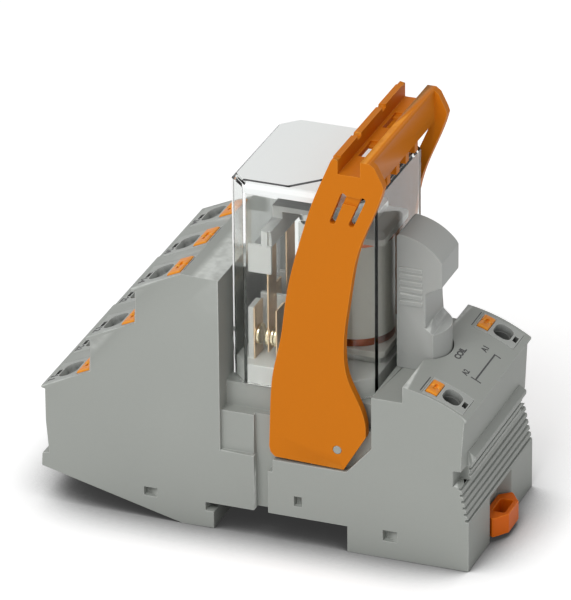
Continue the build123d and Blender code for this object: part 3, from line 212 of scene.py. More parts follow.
def started_group(
    name: str, inputs: Sequence[tuple[str, object]], outputs: Sequence[str]
) -> tuple[Wiring, Node, Node]:
    """Start a shader node group.

    Args:
        name: The group's name.
        inputs: Name and default of each input, a colour where it has four values.
        outputs: The outputs' names, where Colour is a colour and the rest are numbers.

    Returns:
        The group's wiring, its input node and its output node.
    """
    tree = bpy.data.node_groups.new(name, "ShaderNodeTree")
    for label, value in inputs:
        kind = "NodeSocketColor" if isinstance(value, tuple) else "NodeSocketFloat"
        tree.interface.new_socket(label, in_out="INPUT", socket_type=kind).default_value = value
    for label in outputs:
        kind = "NodeSocketColor" if label == "Colour" else "NodeSocketFloat"
        tree.interface.new_socket(label, in_out="OUTPUT", socket_type=kind)
    return Wiring(tree), tree.nodes.new("NodeGroupInput"), tree.nodes.new("NodeGroupOutput")


class SurfaceGroups:
    """The shader node groups that several finishes share."""

    def __init__(self) -> None:
        """Build each group once."""
        self.mould = self._mould_grain()
        self.strip = self._rolled_strip()
        self.edge_highlight = self._painted_edge_highlight()

    @staticmethod
    def _mould_grain() -> Tree:
        """Build the group for moulded plastic.

        Returns:
            A group with eroded grain, slow tone drift and roughness variation.
        """
        desk, source, sink = started_group(
            "mould_grain",
            [
                ("Colour", (0.5, 0.5, 0.5, 1)),
                ("Tone Spread", 0.05),
                ("Grain Scale", 2600.0),
                ("Roughness", 0.5),
                ("Roughness Spread", 0.1),
            ],
            ["Colour", "Roughness", "Height"],
        )
        given = source.outputs
        where = desk.object_place()
        grain = desk.noise(where, scale=given["Grain Scale"], detail=3.0)
        drift = desk.noise(where, scale=38.0, detail=4.0, roughness=0.6)
        specks = desk.noise(where, scale=900.0, detail=1.0)
        speck_share = 0.35
        both = desk.maths("MULTIPLY_ADD", specks, speck_share, drift)
        centred = desk.maths("SUBTRACT", both, 0.5 * (1.0 + speck_share))
        tone = desk.maths("MULTIPLY_ADD", centred, given["Tone Spread"], 1.0)
        rough = desk.maths("MULTIPLY_ADD", centred, given["Roughness Spread"], given["Roughness"])
        desk.fill(sink, {"Colour": desk.scaled(given["Colour"], tone), "Roughness": rough, "Height": grain})
        return desk.tree

    @staticmethod
    def _rolled_strip() -> Tree:
        """Build the group for rolled and stamped metal.

        Returns:
            A group with fine lines along X, stains and roughness streaks.
        """
        desk, source, sink = started_group(
            "rolled_strip",
            [
                ("Colour", (0.6, 0.6, 0.6, 1)),
                ("Stain", (0.4, 0.4, 0.4, 1)),
                ("Stain Amount", 0.3),
                ("Roughness", 0.3),
            ],
            ["Colour", "Roughness", "Height"],
        )
        given = source.outputs
        where = desk.object_place()
        stretch = desk.add("ShaderNodeMapping", {"Vector": where, "Scale": (220.0, 3600.0, 260.0)})
        lines = desk.noise(stretch.outputs["Vector"], scale=1.0, detail=3.0)
        patches = desk.noise(where, scale=260.0, detail=4.0)
        amount = desk.maths("MULTIPLY", desk.ranged(patches, (0.45, 0.7)), given["Stain Amount"])
        streak = 0.3
        rough = desk.maths("MULTIPLY_ADD", lines, streak, given["Roughness"])
        values = {
            "Colour": desk.mixed(amount, given["Colour"], given["Stain"]),
            "Roughness": desk.maths("SUBTRACT", rough, streak / 2),
            "Height": lines,
        }
        desk.fill(sink, values)
        return desk.tree

    @staticmethod
    def _painted_edge_highlight() -> Tree:
        """Build the group that paints a highlight along the convex edges of moulded plastic.

        Returns:
            A group that lightens convex edges a little, as a painted highlight broken up by noise.
        """
        desk, source, sink = started_group(
            "painted_edge_highlight",
            [("Colour", (0.5, 0.5, 0.5, 1)), ("Highlight Colour", (0.7, 0.7, 0.7, 1)), ("Amount", 0.3)],
            ["Colour"],
        )
        given = source.outputs
        # Painted highlight: convex edges, found from the bevelled normal and pointiness, get the lighter
        # highlight colour.
        shape = desk.add("ShaderNodeNewGeometry").outputs
        soft = desk.add("ShaderNodeBevel", {"Radius": 0.3 * MM}, samples=4).outputs["Normal"]
        normals = {0: soft, 1: shape["True Normal"]}
        turned = desk.add("ShaderNodeVectorMath", normals, operation="DOT_PRODUCT")
        ridge = desk.ranged(turned.outputs["Value"], (0.97, 0.88))
        proud = desk.ranged(shape["Pointiness"], (0.5, 0.52))
        broken = desk.ranged(desk.noise(desk.object_place(), scale=420.0), (0.35, 0.6), (0.55, 1.0))
        highlit = desk.maths("MULTIPLY", desk.maths("MULTIPLY", ridge, proud), broken)
        amount = desk.maths("MULTIPLY", highlit, given["Amount"])
        desk.fill(sink, {"Colour": desk.mixed(amount, given["Colour"], given["Highlight Colour"])})
        return desk.tree


@dataclass(frozen=True)
class MaterialWiring(Wiring):
    """The wiring of a material, with its Principled node and the shared groups."""

    shader: Node
    groups: SurfaceGroups

    def feed(self, values: Inputs) -> None:
        """Link or set the shader's inputs."""
        self.fill(self.shader, values)

    def bump(self, height: Socket, depth: float) -> None:
        """Feed a height into the shader's normal, with the relief's depth in millimetres."""
        values = {"Strength": 1.0, "Distance": depth * MM, "Height": height}
        self.feed({"Normal": self.add("ShaderNodeBump", values).outputs["Normal"]})


@dataclass(frozen=True)
class Finish:
    """What a surface is made of and how it looks."""

    name: str

    def material(self, groups: SurfaceGroups) -> bpy.types.Material:
        """Make the finish.

        Args:
            groups: The shared node groups.

        Returns:
            The material.
        """
        made = bpy.data.materials.new(self.name)
        made.use_nodes = True
        self.wire(MaterialWiring(made.node_tree, made.node_tree.nodes["Principled BSDF"], groups))
        return made

    def wire(self, desk: MaterialWiring) -> None:
        """Feed the shader, in each finish's own way."""
        raise NotImplementedError


@dataclass(frozen=True)
class MouldedPlastic(Finish):
    """A moulded plastic with fine grain, slightly lighter edges as a painted highlight, and painted shade in
    its hollows where hollow_reach is set.
    """

    colour: Colour
    # The lighter colour painted along convex edges as a highlight, and how much of it
    highlight_colour: Colour
    roughness: float = 0.5
    tone_spread: float = 0.07
    grain_scale: float = 2600.0
    grain_depth: float = 0.012
    highlight_amount: float = 0.9
    specular: float = 0.4
    # Painted shade: within hollow_reach, in millimetres, occlusion darkens the colour down to hollow_shade
    hollow_reach: float = 0.0
    hollow_shade: float = 0.3

    def with_painted_hollow_shade(self, desk: Wiring, colour: Socket) -> Socket:
        """Paint shade into a colour inside the mouths and slots of the piece.

        Args:
            desk: The material's wiring.
            colour: The colour's socket.

        Returns:
            The darker colour's socket.
        """
        nearby = desk.add(
            "ShaderNodeAmbientOcclusion", {"Distance": self.hollow_reach * MM}, samples=8, only_local=True
        )
        shade = desk.ranged(nearby.outputs["AO"], (0.5, 0.97), (self.hollow_shade, 1.0), "SMOOTHSTEP")
        return desk.scaled(colour, shade)

    def wire(self, desk: MaterialWiring) -> None:
        """Feed the shader with grain, lighter edges as a painted highlight, and painted hollow shade where
        hollow_reach is set.

        Args:
            desk: The material's wiring.
        """
        values = {
            "Colour": (*self.colour, 1),
            "Tone Spread": self.tone_spread,
            "Grain Scale": self.grain_scale,
            "Roughness": self.roughness,
            "Roughness Spread": 0.22,
        }
        grain = desk.add("ShaderNodeGroup", values, node_tree=desk.groups.mould).outputs
        highlit = {"Colour": grain["Colour"], "Highlight Colour": (*self.highlight_colour, 1), "Amount": self.highlight_amount}
        tint = desk.add("ShaderNodeGroup", highlit, node_tree=desk.groups.edge_highlight).outputs["Colour"]
        if self.hollow_reach > 0.0:
            tint = self.with_painted_hollow_shade(desk, tint)
        desk.feed({"Base Color": tint, "Roughness": grain["Roughness"], "Specular IOR Level": self.specular})
        desk.bump(grain["Height"], self.grain_depth)


@dataclass(frozen=True)
class RolledMetal(Finish):
    """A stamped metal strip with rolling lines and faint stains."""

    colour: Colour
    stain: Colour
    stain_amount: float = 0.35
    roughness: float = 0.3
    line_depth: float = 0.004

    def wire(self, desk: MaterialWiring) -> None:
        """Feed the shader with rolling lines and stains.

        Args:
            desk: The material's wiring.
        """
        values = {
            "Colour": (*self.colour, 1),
            "Stain": (*self.stain, 1),
            "Stain Amount": self.stain_amount,
            "Roughness": self.roughness,
        }
        strip = desk.add("ShaderNodeGroup", values, node_tree=desk.groups.strip).outputs
        desk.feed({"Base Color": strip["Colour"], "Roughness": strip["Roughness"], "Metallic": 1.0})
        desk.bump(strip["Height"], self.line_depth)


@dataclass(frozen=True)
class ClearPlastic(Finish):
    """A clear moulded plastic that lets the lamps reach what is inside."""

    colour: Colour
    roughness: float = 0.03
    ior: float = 1.3
    shadow_tint: Colour = (0.54, 0.55, 0.55)

    def wire(self, desk: MaterialWiring) -> None:
        """Feed the shader with faint waves, and let shadow rays through tinted.

        Args:
            desk: The material's wiring.
        """
        values = {
            "Colour": (*self.colour, 1),
            "Tone Spread": 0.03,
            "Grain Scale": 90.0,
            "Roughness": self.roughness,
            "Roughness Spread": 0.03,
        }
        waves = desk.add("ShaderNodeGroup", values, node_tree=desk.groups.mould).outputs
        desk.feed({"Base Color": waves["Colour"], "Roughness": waves["Roughness"]})
        desk.feed({"Transmission Weight": 1.0, "IOR": self.ior})
        desk.bump(waves["Height"], 0.02)
        shadow = desk.add("ShaderNodeLightPath").outputs["Is Shadow Ray"]
        clear = desk.add("ShaderNodeBsdfTransparent", {"Color": (*self.shadow_tint, 1)}).outputs["BSDF"]
        mix = desk.add("ShaderNodeMixShader", {"Fac": shadow, 1: desk.shader.outputs["BSDF"], 2: clear})
        desk.fill(desk.tree.nodes["Material Output"], {"Surface": mix.outputs["Shader"]})


@dataclass(frozen=True)
class PrintedInk(Finish):
    """Pad-printed ink with slightly uneven cover."""

    colour: Colour
    roughness: float = 0.45

    def wire(self, desk: MaterialWiring) -> None:
        """Feed the shader with uneven ink.

        Args:
            desk: The material's wiring.
        """
        values = {
            "Colour": (*self.colour, 1),
            "Tone Spread": 0.5,
            "Grain Scale": 3000.0,
            "Roughness": self.roughness,
            "Roughness Spread": 0.2,
        }
        ink = desk.add("ShaderNodeGroup", values, node_tree=desk.groups.mould).outputs
        desk.feed({"Base Color": ink["Colour"], "Roughness": ink["Roughness"]})
        desk.bump(ink["Height"], 0.004)


def background_seen(desk: Wiring) -> Socket:
    """Tell by which rays the camera sees the background, directly, by glass or by gloss.

    Args:
        desk: The wiring of a material or of the world.

    Returns:
        A socket that is 1 for those rays, and otherwise 0.
    """
    path = desk.add("ShaderNodeLightPath").outputs
    through = desk.maths("MAXIMUM", path["Is Camera Ray"], path["Is Transmission Ray"])
    either = desk.maths("MAXIMUM", through, path["Is Glossy Ray"])
    return desk.maths("MULTIPLY", either, desk.maths("LESS_THAN", path["Diffuse Depth"], 0.5))


@dataclass(frozen=True)
class FloorPaper(Finish):
    """Pale paper that is seen as white, but for real and painted shade close to the object and under it."""

    white: float = 0.97
    # The white glow seen by the camera, held back inside an oval round the object's foot as painted soft
    # shade.
    lift: Point = (0.28, 0.38)
    lift_from: Point = (0.7, 1.25)
    foot_half: Point = (60.0, 32.0)
    contact_reach: float = 24.0
    # Painted contact shadow: where the object occludes the floor within contact_reach, colour and glow fall
    # to covered_shade.
    covered: Point = (0.3, 0.9)
    covered_shade: float = 0.12

    def wire(self, desk: MaterialWiring) -> None:
        """Feed the shader with white, and paint contact shadow where the object covers the floor.

        Args:
            desk: The material's wiring.
        """
        paper = {"Color": (self.white, self.white, self.white, 1), "Distance": self.contact_reach * MM}
        nearby = desk.add("ShaderNodeAmbientOcclusion", paper, samples=16).outputs
        bare = desk.ranged(nearby["AO"], self.covered, (self.covered_shade, 1.0), "SMOOTHSTEP")
        halves = (*self.foot_half, 1.0 / MM)
        oval = {"Vector": desk.object_place(), "Scale": tuple(1 / (half * MM) for half in halves)}
        inside = desk.add("ShaderNodeMapping", oval).outputs["Vector"]
        reach = desk.add("ShaderNodeVectorMath", {0: inside}, operation="LENGTH").outputs["Value"]
        lift = desk.ranged(reach, self.lift_from, self.lift, "SMOOTHSTEP")
        glow = desk.maths("MULTIPLY", desk.maths("MULTIPLY", background_seen(desk), lift), bare)
        desk.feed({"Roughness": 0.9, "Specular IOR Level": 0.1, "Emission Color": (1, 1, 1, 1)})
        # Painted contact shadow: the occlusion darkens the paper's own colour.
        desk.feed({"Base Color": desk.scaled(nearby["Color"], bare), "Emission Strength": glow})


def linked(name: str, data: bpy.types.ID) -> Piece:
    """Put a new object into the scene.

    Args:
        name: Its name.
        data: The mesh, curve, light or camera that it shows.

    Returns:
        The object.
    """
    made = bpy.data.objects.new(name, data)
    bpy.context.scene.collection.objects.link(made)
    return made


def placed_mesh(name: str, bm: bmesh.types.BMesh) -> Piece:
    """Turn a mesh in the making into an object at the origin, and free it.

    Args:
        name: The object's name.
        bm: The mesh in the making.

    Returns:
        The object.
    """
    mesh = bpy.data.meshes.new(name)
    bm.to_mesh(mesh)
    bm.free()
    return linked(name, mesh)


def copied(node: str, frame: dict) -> Piece:
    """Copy a CAD node into a new object at the origin.

    Args:
        node: The CAD node.

    Returns:
        The copy, with its doubles merged and flat faces made whole.
    """
    bm = bmesh.new()
    bm.from_mesh(frame["nodes"][node].data)
    bmesh.ops.remove_doubles(bm, verts=bm.verts, dist=SAME_PLACE)
    bmesh.ops.dissolve_limit(bm, angle_limit=FLAT, verts=bm.verts, edges=bm.edges)
    bmesh.ops.recalc_face_normals(bm, faces=bm.faces)
    return placed_mesh(f"{node}_shape", bm)


def applied(piece: Piece) -> None:
    """Turn a piece's modifiers into its mesh.

    Args:
        piece: The object, changed in place.
    """
    bpy.context.view_layer.update()
    graph = bpy.context.evaluated_depsgraph_get()
    shown = piece.evaluated_get(graph)
    mesh = bpy.data.meshes.new_from_object(shown, preserve_all_data_layers=True, depsgraph=graph)
    piece.modifiers.clear()
    piece.data = mesh


def room_beside(edge: Edge) -> float:
    """Return how far an edge's rounding may reach, in metres, before it meets the next edges of its faces.

    Args:
        edge: An edge between two faces.

    Returns:
        A share of the shortest way along the neighbouring edges, measured square to this edge.
    """
    room = math.inf
    for loop in edge.link_loops:
        run = (loop.link_loop_next.vert.co - loop.vert.co).normalized()
        for other in (loop.link_loop_prev, loop.link_loop_next):
            beside = other.link_loop_next.vert.co - other.vert.co
            square = beside.cross(run).length
            if square > TURN_SHARE * beside.length:
                room = min(room, ROOM_SHARE * square)
    return room


def even_runs(edges: dict[Edge, float]) -> dict[Edge, float]:
    """Give edges that run on into each other one rounding, the least of them.

    Args:
        edges: How far each edge may be rounded.

    Returns:
        The same edges with even values.
    """
    leader = {edge: edge for edge in edges}

    def first(edge: Edge) -> Edge:
        """Find the edge that leads an edge's run.

        Args:
            edge: An edge of the run.

        Returns:
            The leading edge.
        """
        while leader[edge] is not edge:
            leader[edge] = leader[leader[edge]]
            edge = leader[edge]
        return edge

    for vertex in {vertex for edge in edges for vertex in edge.verts}:
        met = [edge for edge in vertex.link_edges if edge in edges]
        ways = [(edge.other_vert(vertex).co - vertex.co).normalized() for edge in met]
        for i, way in enumerate(ways):
            for j in range(i):
                if way.dot(ways[j]) < -RUN_ON:
                    leader[first(met[i])] = first(met[j])
    least: dict[Edge, float] = {}
    for edge, value in edges.items():
        head = first(edge)
        least[head] = min(value, least.get(head, value))
    return {edge: least[first(edge)] for edge in edges}


def weighed(piece: Piece, amount: Rounding, angle: float, split: bool) -> None:
    """Mark how far each edge of a piece is rounded, and which edges stay sharp.

    Args:
        piece: The object, changed in place.
        amount: How far to round.
        angle: The least angle between faces that is an edge, in degrees.
        split: Whether hollow-cornered faces are first cut into plain ones.
    """
    bm = bmesh.new()
    bm.from_mesh(piece.data)
    if split:
        bmesh.ops.connect_verts_concave(bm, faces=bm.faces)
    weight = bm.edges.layers.float.new("bevel_weight_edge")
    wanted = {
        edge: min(1.0, room_beside(edge) / (amount.value * MM))
        for edge in bm.edges
        if len(edge.link_faces) == 2 and edge.calc_face_angle(0.0) > math.radians(angle)
    }
    for edge in bm.edges:
        edge.smooth = len(edge.link_faces) == 2 and edge.calc_face_angle(0.0) < CREASE
    least = min(LEAST_ROUNDING, LEAST_SHARE * amount.value)
    for edge, value in even_runs(wanted).items():
        if value * amount.value > least:
            edge[weight] = value
            edge.smooth = True
    for face in bm.faces:
        face.smooth = True
    bm.to_mesh(piece.data)
    bm.free()


def rounded(
    piece: Piece, amount: Rounding, angle: float = 32.0, segments: int = 2, split: bool = True
) -> None:
    """Round a piece's edges, less where a face is narrow.

    Args:
        piece: The object, changed in place.
        amount: How far to round.
        angle: The least angle between faces that is an edge, in degrees.
        segments: Steps in each rounding.
        split: Whether hollow-cornered faces are first cut into plain ones.
    """
    weighed(piece, amount, angle, split)
    bevel = piece.modifiers.new("edge", "BEVEL")
    bevel.width = amount.value * MM
    bevel.segments = segments
    bevel.limit_method = "WEIGHT"
    bevel.harden_normals = False
    bevel.use_clamp_overlap = False
    bevel.miter_outer = "MITER_ARC"
    bevel.face_strength_mode = "FSTR_ALL"
    flat = piece.modifiers.new("flat_faces", "WEIGHTED_NORMAL")
    flat.mode = "FACE_AREA"
    flat.weight = 100
    flat.keep_sharp = True
    flat.use_face_influence = True
    applied(piece)


def thickened(piece: Piece, thickness: float) -> None:
    """Give a sheet a thickness outwards.

    Args:
        piece: The sheet, changed in place.
        thickness: How thick it gets, in millimetres.
    """
    wall = piece.modifiers.new("thickness", "SOLIDIFY")
    wall.thickness = thickness * MM
    wall.offset = 1.0
    applied(piece)


@dataclass
class Workshop:
    """What every sub-assembly needs: the frame, the shared groups and a cache of finishes."""

    frame: dict
    groups: SurfaceGroups = field(default_factory=SurfaceGroups)
    finishes: dict[str, bpy.types.Material] = field(default_factory=dict)

    def coat(self, piece: Piece, wanted: Finish) -> None:
        """Give an object a finish, whose material is made once.

        Args:
            piece: The object.
            wanted: Its finish.
        """
        if wanted.name not in self.finishes:
            self.finishes[wanted.name] = wanted.material(self.groups)
        piece.data.materials.clear()
        piece.data.materials.append(self.finishes[wanted.name])

    def dress(self, node: str, wanted: Finish) -> None:
        """Give a CAD node that stays as it is a better material."""
        self.coat(self.frame["nodes"][node], wanted)
        LOG.info("dressed %s with %s", node, wanted.name)

    def stand_in(
        self, node: str, body: str, wanted: Finish, amount: Rounding, segments: int = 2, split: bool = True
    ) -> None:
        """Replace a CAD node by a copy with rounded edges.

        Args:
            node: The CAD node.
            body: The body it rides on.
            wanted: Its finish.
            amount: How far its edges are rounded.
            segments: Steps in each rounding.
            split: Whether hollow-cornered faces are first cut into plain ones.
        """
        piece = copied(node, self.frame)
        rounded(piece, amount, segments=segments, split=split)
        self.coat(piece, wanted)
        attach(piece, body)
        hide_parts(node)
        LOG.info("%s stands for %s, %d faces", piece.name, node, len(piece.data.polygons))

    def added(self, piece: Piece, body: str, wanted: Finish, slot: str) -> None:
        """Finish a new piece that stands for no CAD node.

        Args:
            piece: The object.
            body: The body it rides on.
            wanted: Its finish.
            slot: The record's material slot it follows; not used.
        """
        self.coat(piece, wanted)
        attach(piece, body)
        LOG.info("added %s on %s", piece.name, body)


# The second colour of each moulded plastic is the painted highlight on its convex edges.
HOUSING_GREY = MouldedPlastic("housing_grey", (0.34, 0.355, 0.332), (0.60, 0.62, 0.59), specular=0.3)
# terminal_grey paints shade into the mouths and slots of the inserts, within 4.5 mm
TERMINAL_GREY = MouldedPlastic(
    "terminal_grey", (0.385, 0.40, 0.38), (0.66, 0.68, 0.65), grain_depth=0.008, hollow_reach=4.5
)
MODULE_GREY = MouldedPlastic(
    "module_grey", (0.40, 0.412, 0.396), (0.66, 0.68, 0.65), roughness=0.42, specular=0.3
)
BRACKET_ORANGE = MouldedPlastic(
    "bracket_orange", (0.61, 0.176, 0.005), (0.80, 0.31, 0.04), grain_depth=0.006, specular=0.12
)
BUTTON_ORANGE = MouldedPlastic(
    "button_orange", (0.84, 0.27, 0.012), (0.94, 0.45, 0.06), roughness=0.4, grain_depth=0.005, specular=0.25
)
LATCH_ORANGE = MouldedPlastic(
    "latch_orange", (0.78, 0.145, 0.004), (0.9, 0.3, 0.03), roughness=0.42, grain_depth=0.006, specular=0.2
)
LABEL_WHITE = MouldedPlastic(
    "label_white",
    (0.90, 0.93, 0.92),
    (0.95, 0.95, 0.95),
    roughness=0.36,
    tone_spread=0.03,
    grain_depth=0.003,
)
RELAY_WHITE = MouldedPlastic(
    "relay_white",
    (0.80, 0.80, 0.77),
    (0.88, 0.88, 0.86),
    roughness=0.36,
    tone_spread=0.05,
    grain_depth=0.006,
)
BOBBIN_WHITE = MouldedPlastic(
    "bobbin_white", (0.76, 0.74, 0.68), (0.86, 0.85, 0.8), roughness=0.45, tone_spread=0.08
)
TAPE_CREAM = MouldedPlastic(
    "tape_cream", (0.72, 0.70, 0.62), (0.8, 0.78, 0.72), roughness=0.3, tone_spread=0.1, grain_depth=0.008
)
DIODE_BLACK = MouldedPlastic("diode_black", (0.02, 0.02, 0.022), (0.08, 0.08, 0.08), roughness=0.35)
BOARD_GREEN = MouldedPlastic("board_green", (0.03, 0.14, 0.06), (0.2, 0.25, 0.15), roughness=0.3)
SPRING_STEEL = RolledMetal("spring_steel", (0.56, 0.56, 0.55), (0.4, 0.38, 0.35), 0.25, 0.28)
TINNED_COPPER = RolledMetal("tinned_copper", (0.68, 0.66, 0.62), (0.62, 0.45, 0.3), 0.3, 0.3)
CONTACT_BRONZE = RolledMetal("contact_bronze", (0.72, 0.53, 0.34), (0.5, 0.32, 0.2), 0.35, 0.32)
CONTACT_SILVER = RolledMetal("contact_silver", (0.80, 0.70, 0.48), (0.55, 0.42, 0.25), 0.4, 0.25)
ZINC_STEEL = RolledMetal("zinc_steel", (0.62, 0.62, 0.60), (0.45, 0.44, 0.4), 0.3, 0.34)
WIRE_ENAMEL = RolledMetal("wire_enamel", (0.38, 0.09, 0.03), (0.18, 0.04, 0.02), 0.5, 0.35, 0.006)
COVER_CLEAR = ClearPlastic("cover_clear", (0.91, 0.925, 0.915))
LAMP_CLEAR = ClearPlastic("lamp_clear", (0.45, 0.9, 0.45), roughness=0.1)
BLACK_INK = PrintedInk("black_ink", (0.018, 0.018, 0.02))


def printed_lines(name: str, outlines: Sequence[Sequence[Point]], place: Place) -> Piece:
    """Make printed lines on a place.

    Args:
        name: The piece's name.
        outlines: Closed outlines in millimetres, in the place's own axes, counter-clockwise.
        place: Where they lie.

    Returns:
        The object.
    """
    bm = bmesh.new()
    for outline in outlines:
        low = [bm.verts.new((x, y, 0.0)) for x, y in outline]
        high = [bm.verts.new((x, y, INK_HEIGHT)) for x, y in outline]
        bm.faces.new(high)
        bm.faces.new(list(reversed(low)))
        for i in range(len(outline)):
            j = (i + 1) % len(outline)
            bm.faces.new((low[i], low[j], high[j], high[i]))
    bmesh.ops.transform(bm, matrix=place.matrix(), verts=bm.verts)
    bmesh.ops.recalc_face_normals(bm, faces=bm.faces)
    return placed_mesh(name, bm)


def stroke(start: Point, end: Point, width: float) -> list[Point]:
    """Return the outline of a straight printed line.

    Args:
        start: One end in millimetres.
        end: The other end.
        width: The line's width.

    Returns:
        Four corners, counter-clockwise.
    """
    run = Vector((end[0] - start[0], end[1] - start[1]))
    step = run.normalized() * width / 2
    side = Vector((-step.y, step.x))
    a = Vector(start) - step
    b = Vector(end) + step
    return [tuple(a - side), tuple(b - side), tuple(b + side), tuple(a + side)]


def lettering(words: str, place: Place, height: float, length: float) -> Piece:
    """Make printed generic lettering as a thin mesh.

    Args:
        words: The letters or figures.
        place: Where the text's centre lies and how it reads.
        height: The capitals' height in millimetres.
        length: The line's length in millimetres.

    Returns:
        The object.
    """
    curve = bpy.data.curves.new(words, "FONT")
    curve.body = words
    curve.align_x = "CENTER"
    curve.align_y = "CENTER"
    curve.size = 1.0
    curve.offset = 0.034
    curve.extrude = 0.01
    text = linked(words, curve)
    bpy.context.view_layer.update()
    graph = bpy.context.evaluated_depsgraph_get()
    mesh = bpy.data.meshes.new_from_object(text.evaluated_get(graph))
    bpy.data.objects.remove(text)
    xs = [v.co.x for v in mesh.vertices]
    ys = [v.co.y for v in mesh.vertices]
    wide, tall = max(xs) - min(xs), max(ys) - min(ys)
    middle = Vector(((max(xs) + min(xs)) / 2, (max(ys) + min(ys)) / 2, 0))
    for vertex in mesh.vertices:
        local = vertex.co - middle
        level = INK_HEIGHT if local.z > 0 else -INK_DEPTH
        vertex.co = Vector((local.x * length / wide, local.y * height / tall, level))
    mesh.transform(place.matrix())
    return linked(words, mesh)


def joined(name: str, parts: Sequence[Piece]) -> Piece:
    """Join objects that all sit at the origin.

    Args:
        name: The new object's name.
        parts: The objects, which are removed.

    Returns:
        The new object.
    """
    bm = bmesh.new()
    for part in parts:
        bm.from_mesh(part.data)
        bpy.data.objects.remove(part)
    return placed_mesh(name, bm)


@dataclass
class Assembly:
    """A group of pieces, with the workshop that they are made in."""

    shop: Workshop

    def build(self) -> None:
        """Build and dress the pieces."""
        raise NotImplementedError


@dataclass
class TerminalStair(Assembly):
    """The stair of nine push-in terminals: its faces and its printed numbers. Sizes in millimetres."""

    left_reach: float = 60.2
    tip_z: float = 24.0
    run: float = 13.0
    rise: float = 5.9
    riser: float = 9.1
    lip: float = 1.1
    pitch: float = 17.0
    contacts: tuple[int, ...] = (1, 2, 4)
    columns: tuple[int, ...] = (-1, 0, 1)
    number_aside: float = 3.0
    number_down: float = 12.2
    number_height: float = 1.9
    number_length: float = 2.5
    mark_down: float = 0.35
    mark_half: float = 3.6
    mark_line: float = 0.22

    def heel(self, row: int) -> Point:
        """Find a step's inner end.

        Args:
            row: The step, from the lowest.

        Returns:
            Its x and z.
        """
        x = -self.left_reach + row * (self.run - self.lip) + self.run
        z = self.tip_z + row * (self.rise + self.riser) + self.rise
        return x, z

    def place(self, row: int, y: float, down: float) -> Place:
        """Return a place on a step that reads from the outside.

        Args:
            row: The step, from the lowest.
            y: Position across.
            down: Distance down the slope from the heel.

        Returns:
            The place, with its up direction up the slope.
        """
        angle = math.atan2(self.rise, self.run)
        cos, sin = math.cos(angle), math.sin(angle)
        x, z = self.heel(row)
        return Place((x - down * cos, y, z - down * sin), (0, -1, 0), (cos, 0, sin))

    def print_numbers(self) -> None:
        """Print each terminal's number near its outer edge, and the marks above its button."""
        mark = stroke((-self.mark_half, 0), (self.mark_half, 0), self.mark_line)
        parts = []
        for row, contact in enumerate(self.contacts):
            for pole, column in enumerate(self.columns, start=1):
                y = column * self.pitch
                spot = self.place(row, y - self.number_aside, self.number_down)
                parts.append(lettering(f"{pole}{contact}", spot, self.number_height, self.number_length))
                parts.append(printed_lines("mark", [mark], self.place(row, y, self.mark_down)))
        self.shop.added(joined("terminal_numbers", parts), "socket", BLACK_INK, "housing_grey")

    def build(self) -> None:
        """Build and dress the stair."""
        for row in ("lower", "middle", "upper"):
            self.shop.stand_in(f"terminal_inserts_{row}", "socket", TERMINAL_GREY, Rounding.FINE)
        for contact in self.contacts:
            for pole in range(1, len(self.columns) + 1):
                name = f"{pole}{contact}"
                self.shop.stand_in(f"button_{name}", f"press_{name}", BUTTON_ORANGE, Rounding.FINE)
        self.print_numbers()


@dataclass
class CoilBlock(Assembly):
    """The coil terminals and the print around them. Sizes in millimetres."""

    rise_x: float = 32.0
    rise_z: float = 39.6
    ridge_x: float = 48.2
    ridge_z: float = 33.5
    crown: float = 0.9
    offset: float = 18.2
    mark_x: float = 36.0
    mark_half: float = 3.5
    mark_line: float = 0.22
    symbol_line: float = 0.42

    def surface(self, x: float) -> tuple[float, Vector]:
        """Find the crowned top.

        Args:
            x: The place along the block.

        Returns:
            The top's height there, and its downhill direction.
        """
        share = (x - self.rise_x) / (self.ridge_x - self.rise_x)
        bulge = self.crown / math.cos(math.atan2(self.rise_z - self.ridge_z, self.ridge_x - self.rise_x))
        z = self.rise_z + share * (self.ridge_z - self.rise_z) + bulge * (1 - (2 * share - 1) ** 2)
        slope = (self.ridge_z - self.rise_z - 4 * bulge * (2 * share - 1)) / (self.ridge_x - self.rise_x)
        return z, Vector((1, 0, slope)).normalized()

    def place(self, x: float, y: float) -> Place:
        """Return a place on the crowned top that reads from the terminal end."""
        z, down = self.surface(x)
        return Place((x, y, z), (0, 1, 0), tuple(-down))

    def print_marks(self) -> None:
        """Print the coil's name, its terminal names, its symbol and the marks above the buttons."""
        parts = [
            lettering("COIL", self.place(38.1, 0.6), height=1.7, length=5.4),
            lettering("A1", self.place(41.9, 7.3), height=1.6, length=2.4),
            lettering("A2", self.place(41.7, -5.9), height=1.6, length=2.4),
        ]
        lines = [
            ((44.4, 0.4), (-6.9, 0), (7.0, 0), self.symbol_line),
            ((44.5, -6.5), (0, -1.2), (0, 1.2), self.symbol_line),
            ((45.0, 7.4), (0, -0.8), (0, 0.6), self.symbol_line),
        ]
        for side in Side:
            spot = (self.mark_x, side.value * self.offset)
            lines.append((spot, (-self.mark_half, 0), (self.mark_half, 0), self.mark_line))
        for spot, start, end, width in lines:
            parts.append(printed_lines("line", [stroke(start, end, width)], self.place(*spot)))
        self.shop.added(joined("coil_print", parts), "socket", BLACK_INK, "housing_grey")

    def build(self) -> None:
        """Build and dress the coil block."""
        self.shop.stand_in("terminal_inserts_coil", "socket", TERMINAL_GREY, Rounding.FINE)
        for name in ("a1", "a2"):
            self.shop.stand_in(f"button_{name}", f"press_{name}", BUTTON_ORANGE, Rounding.FINE)
        self.print_marks()


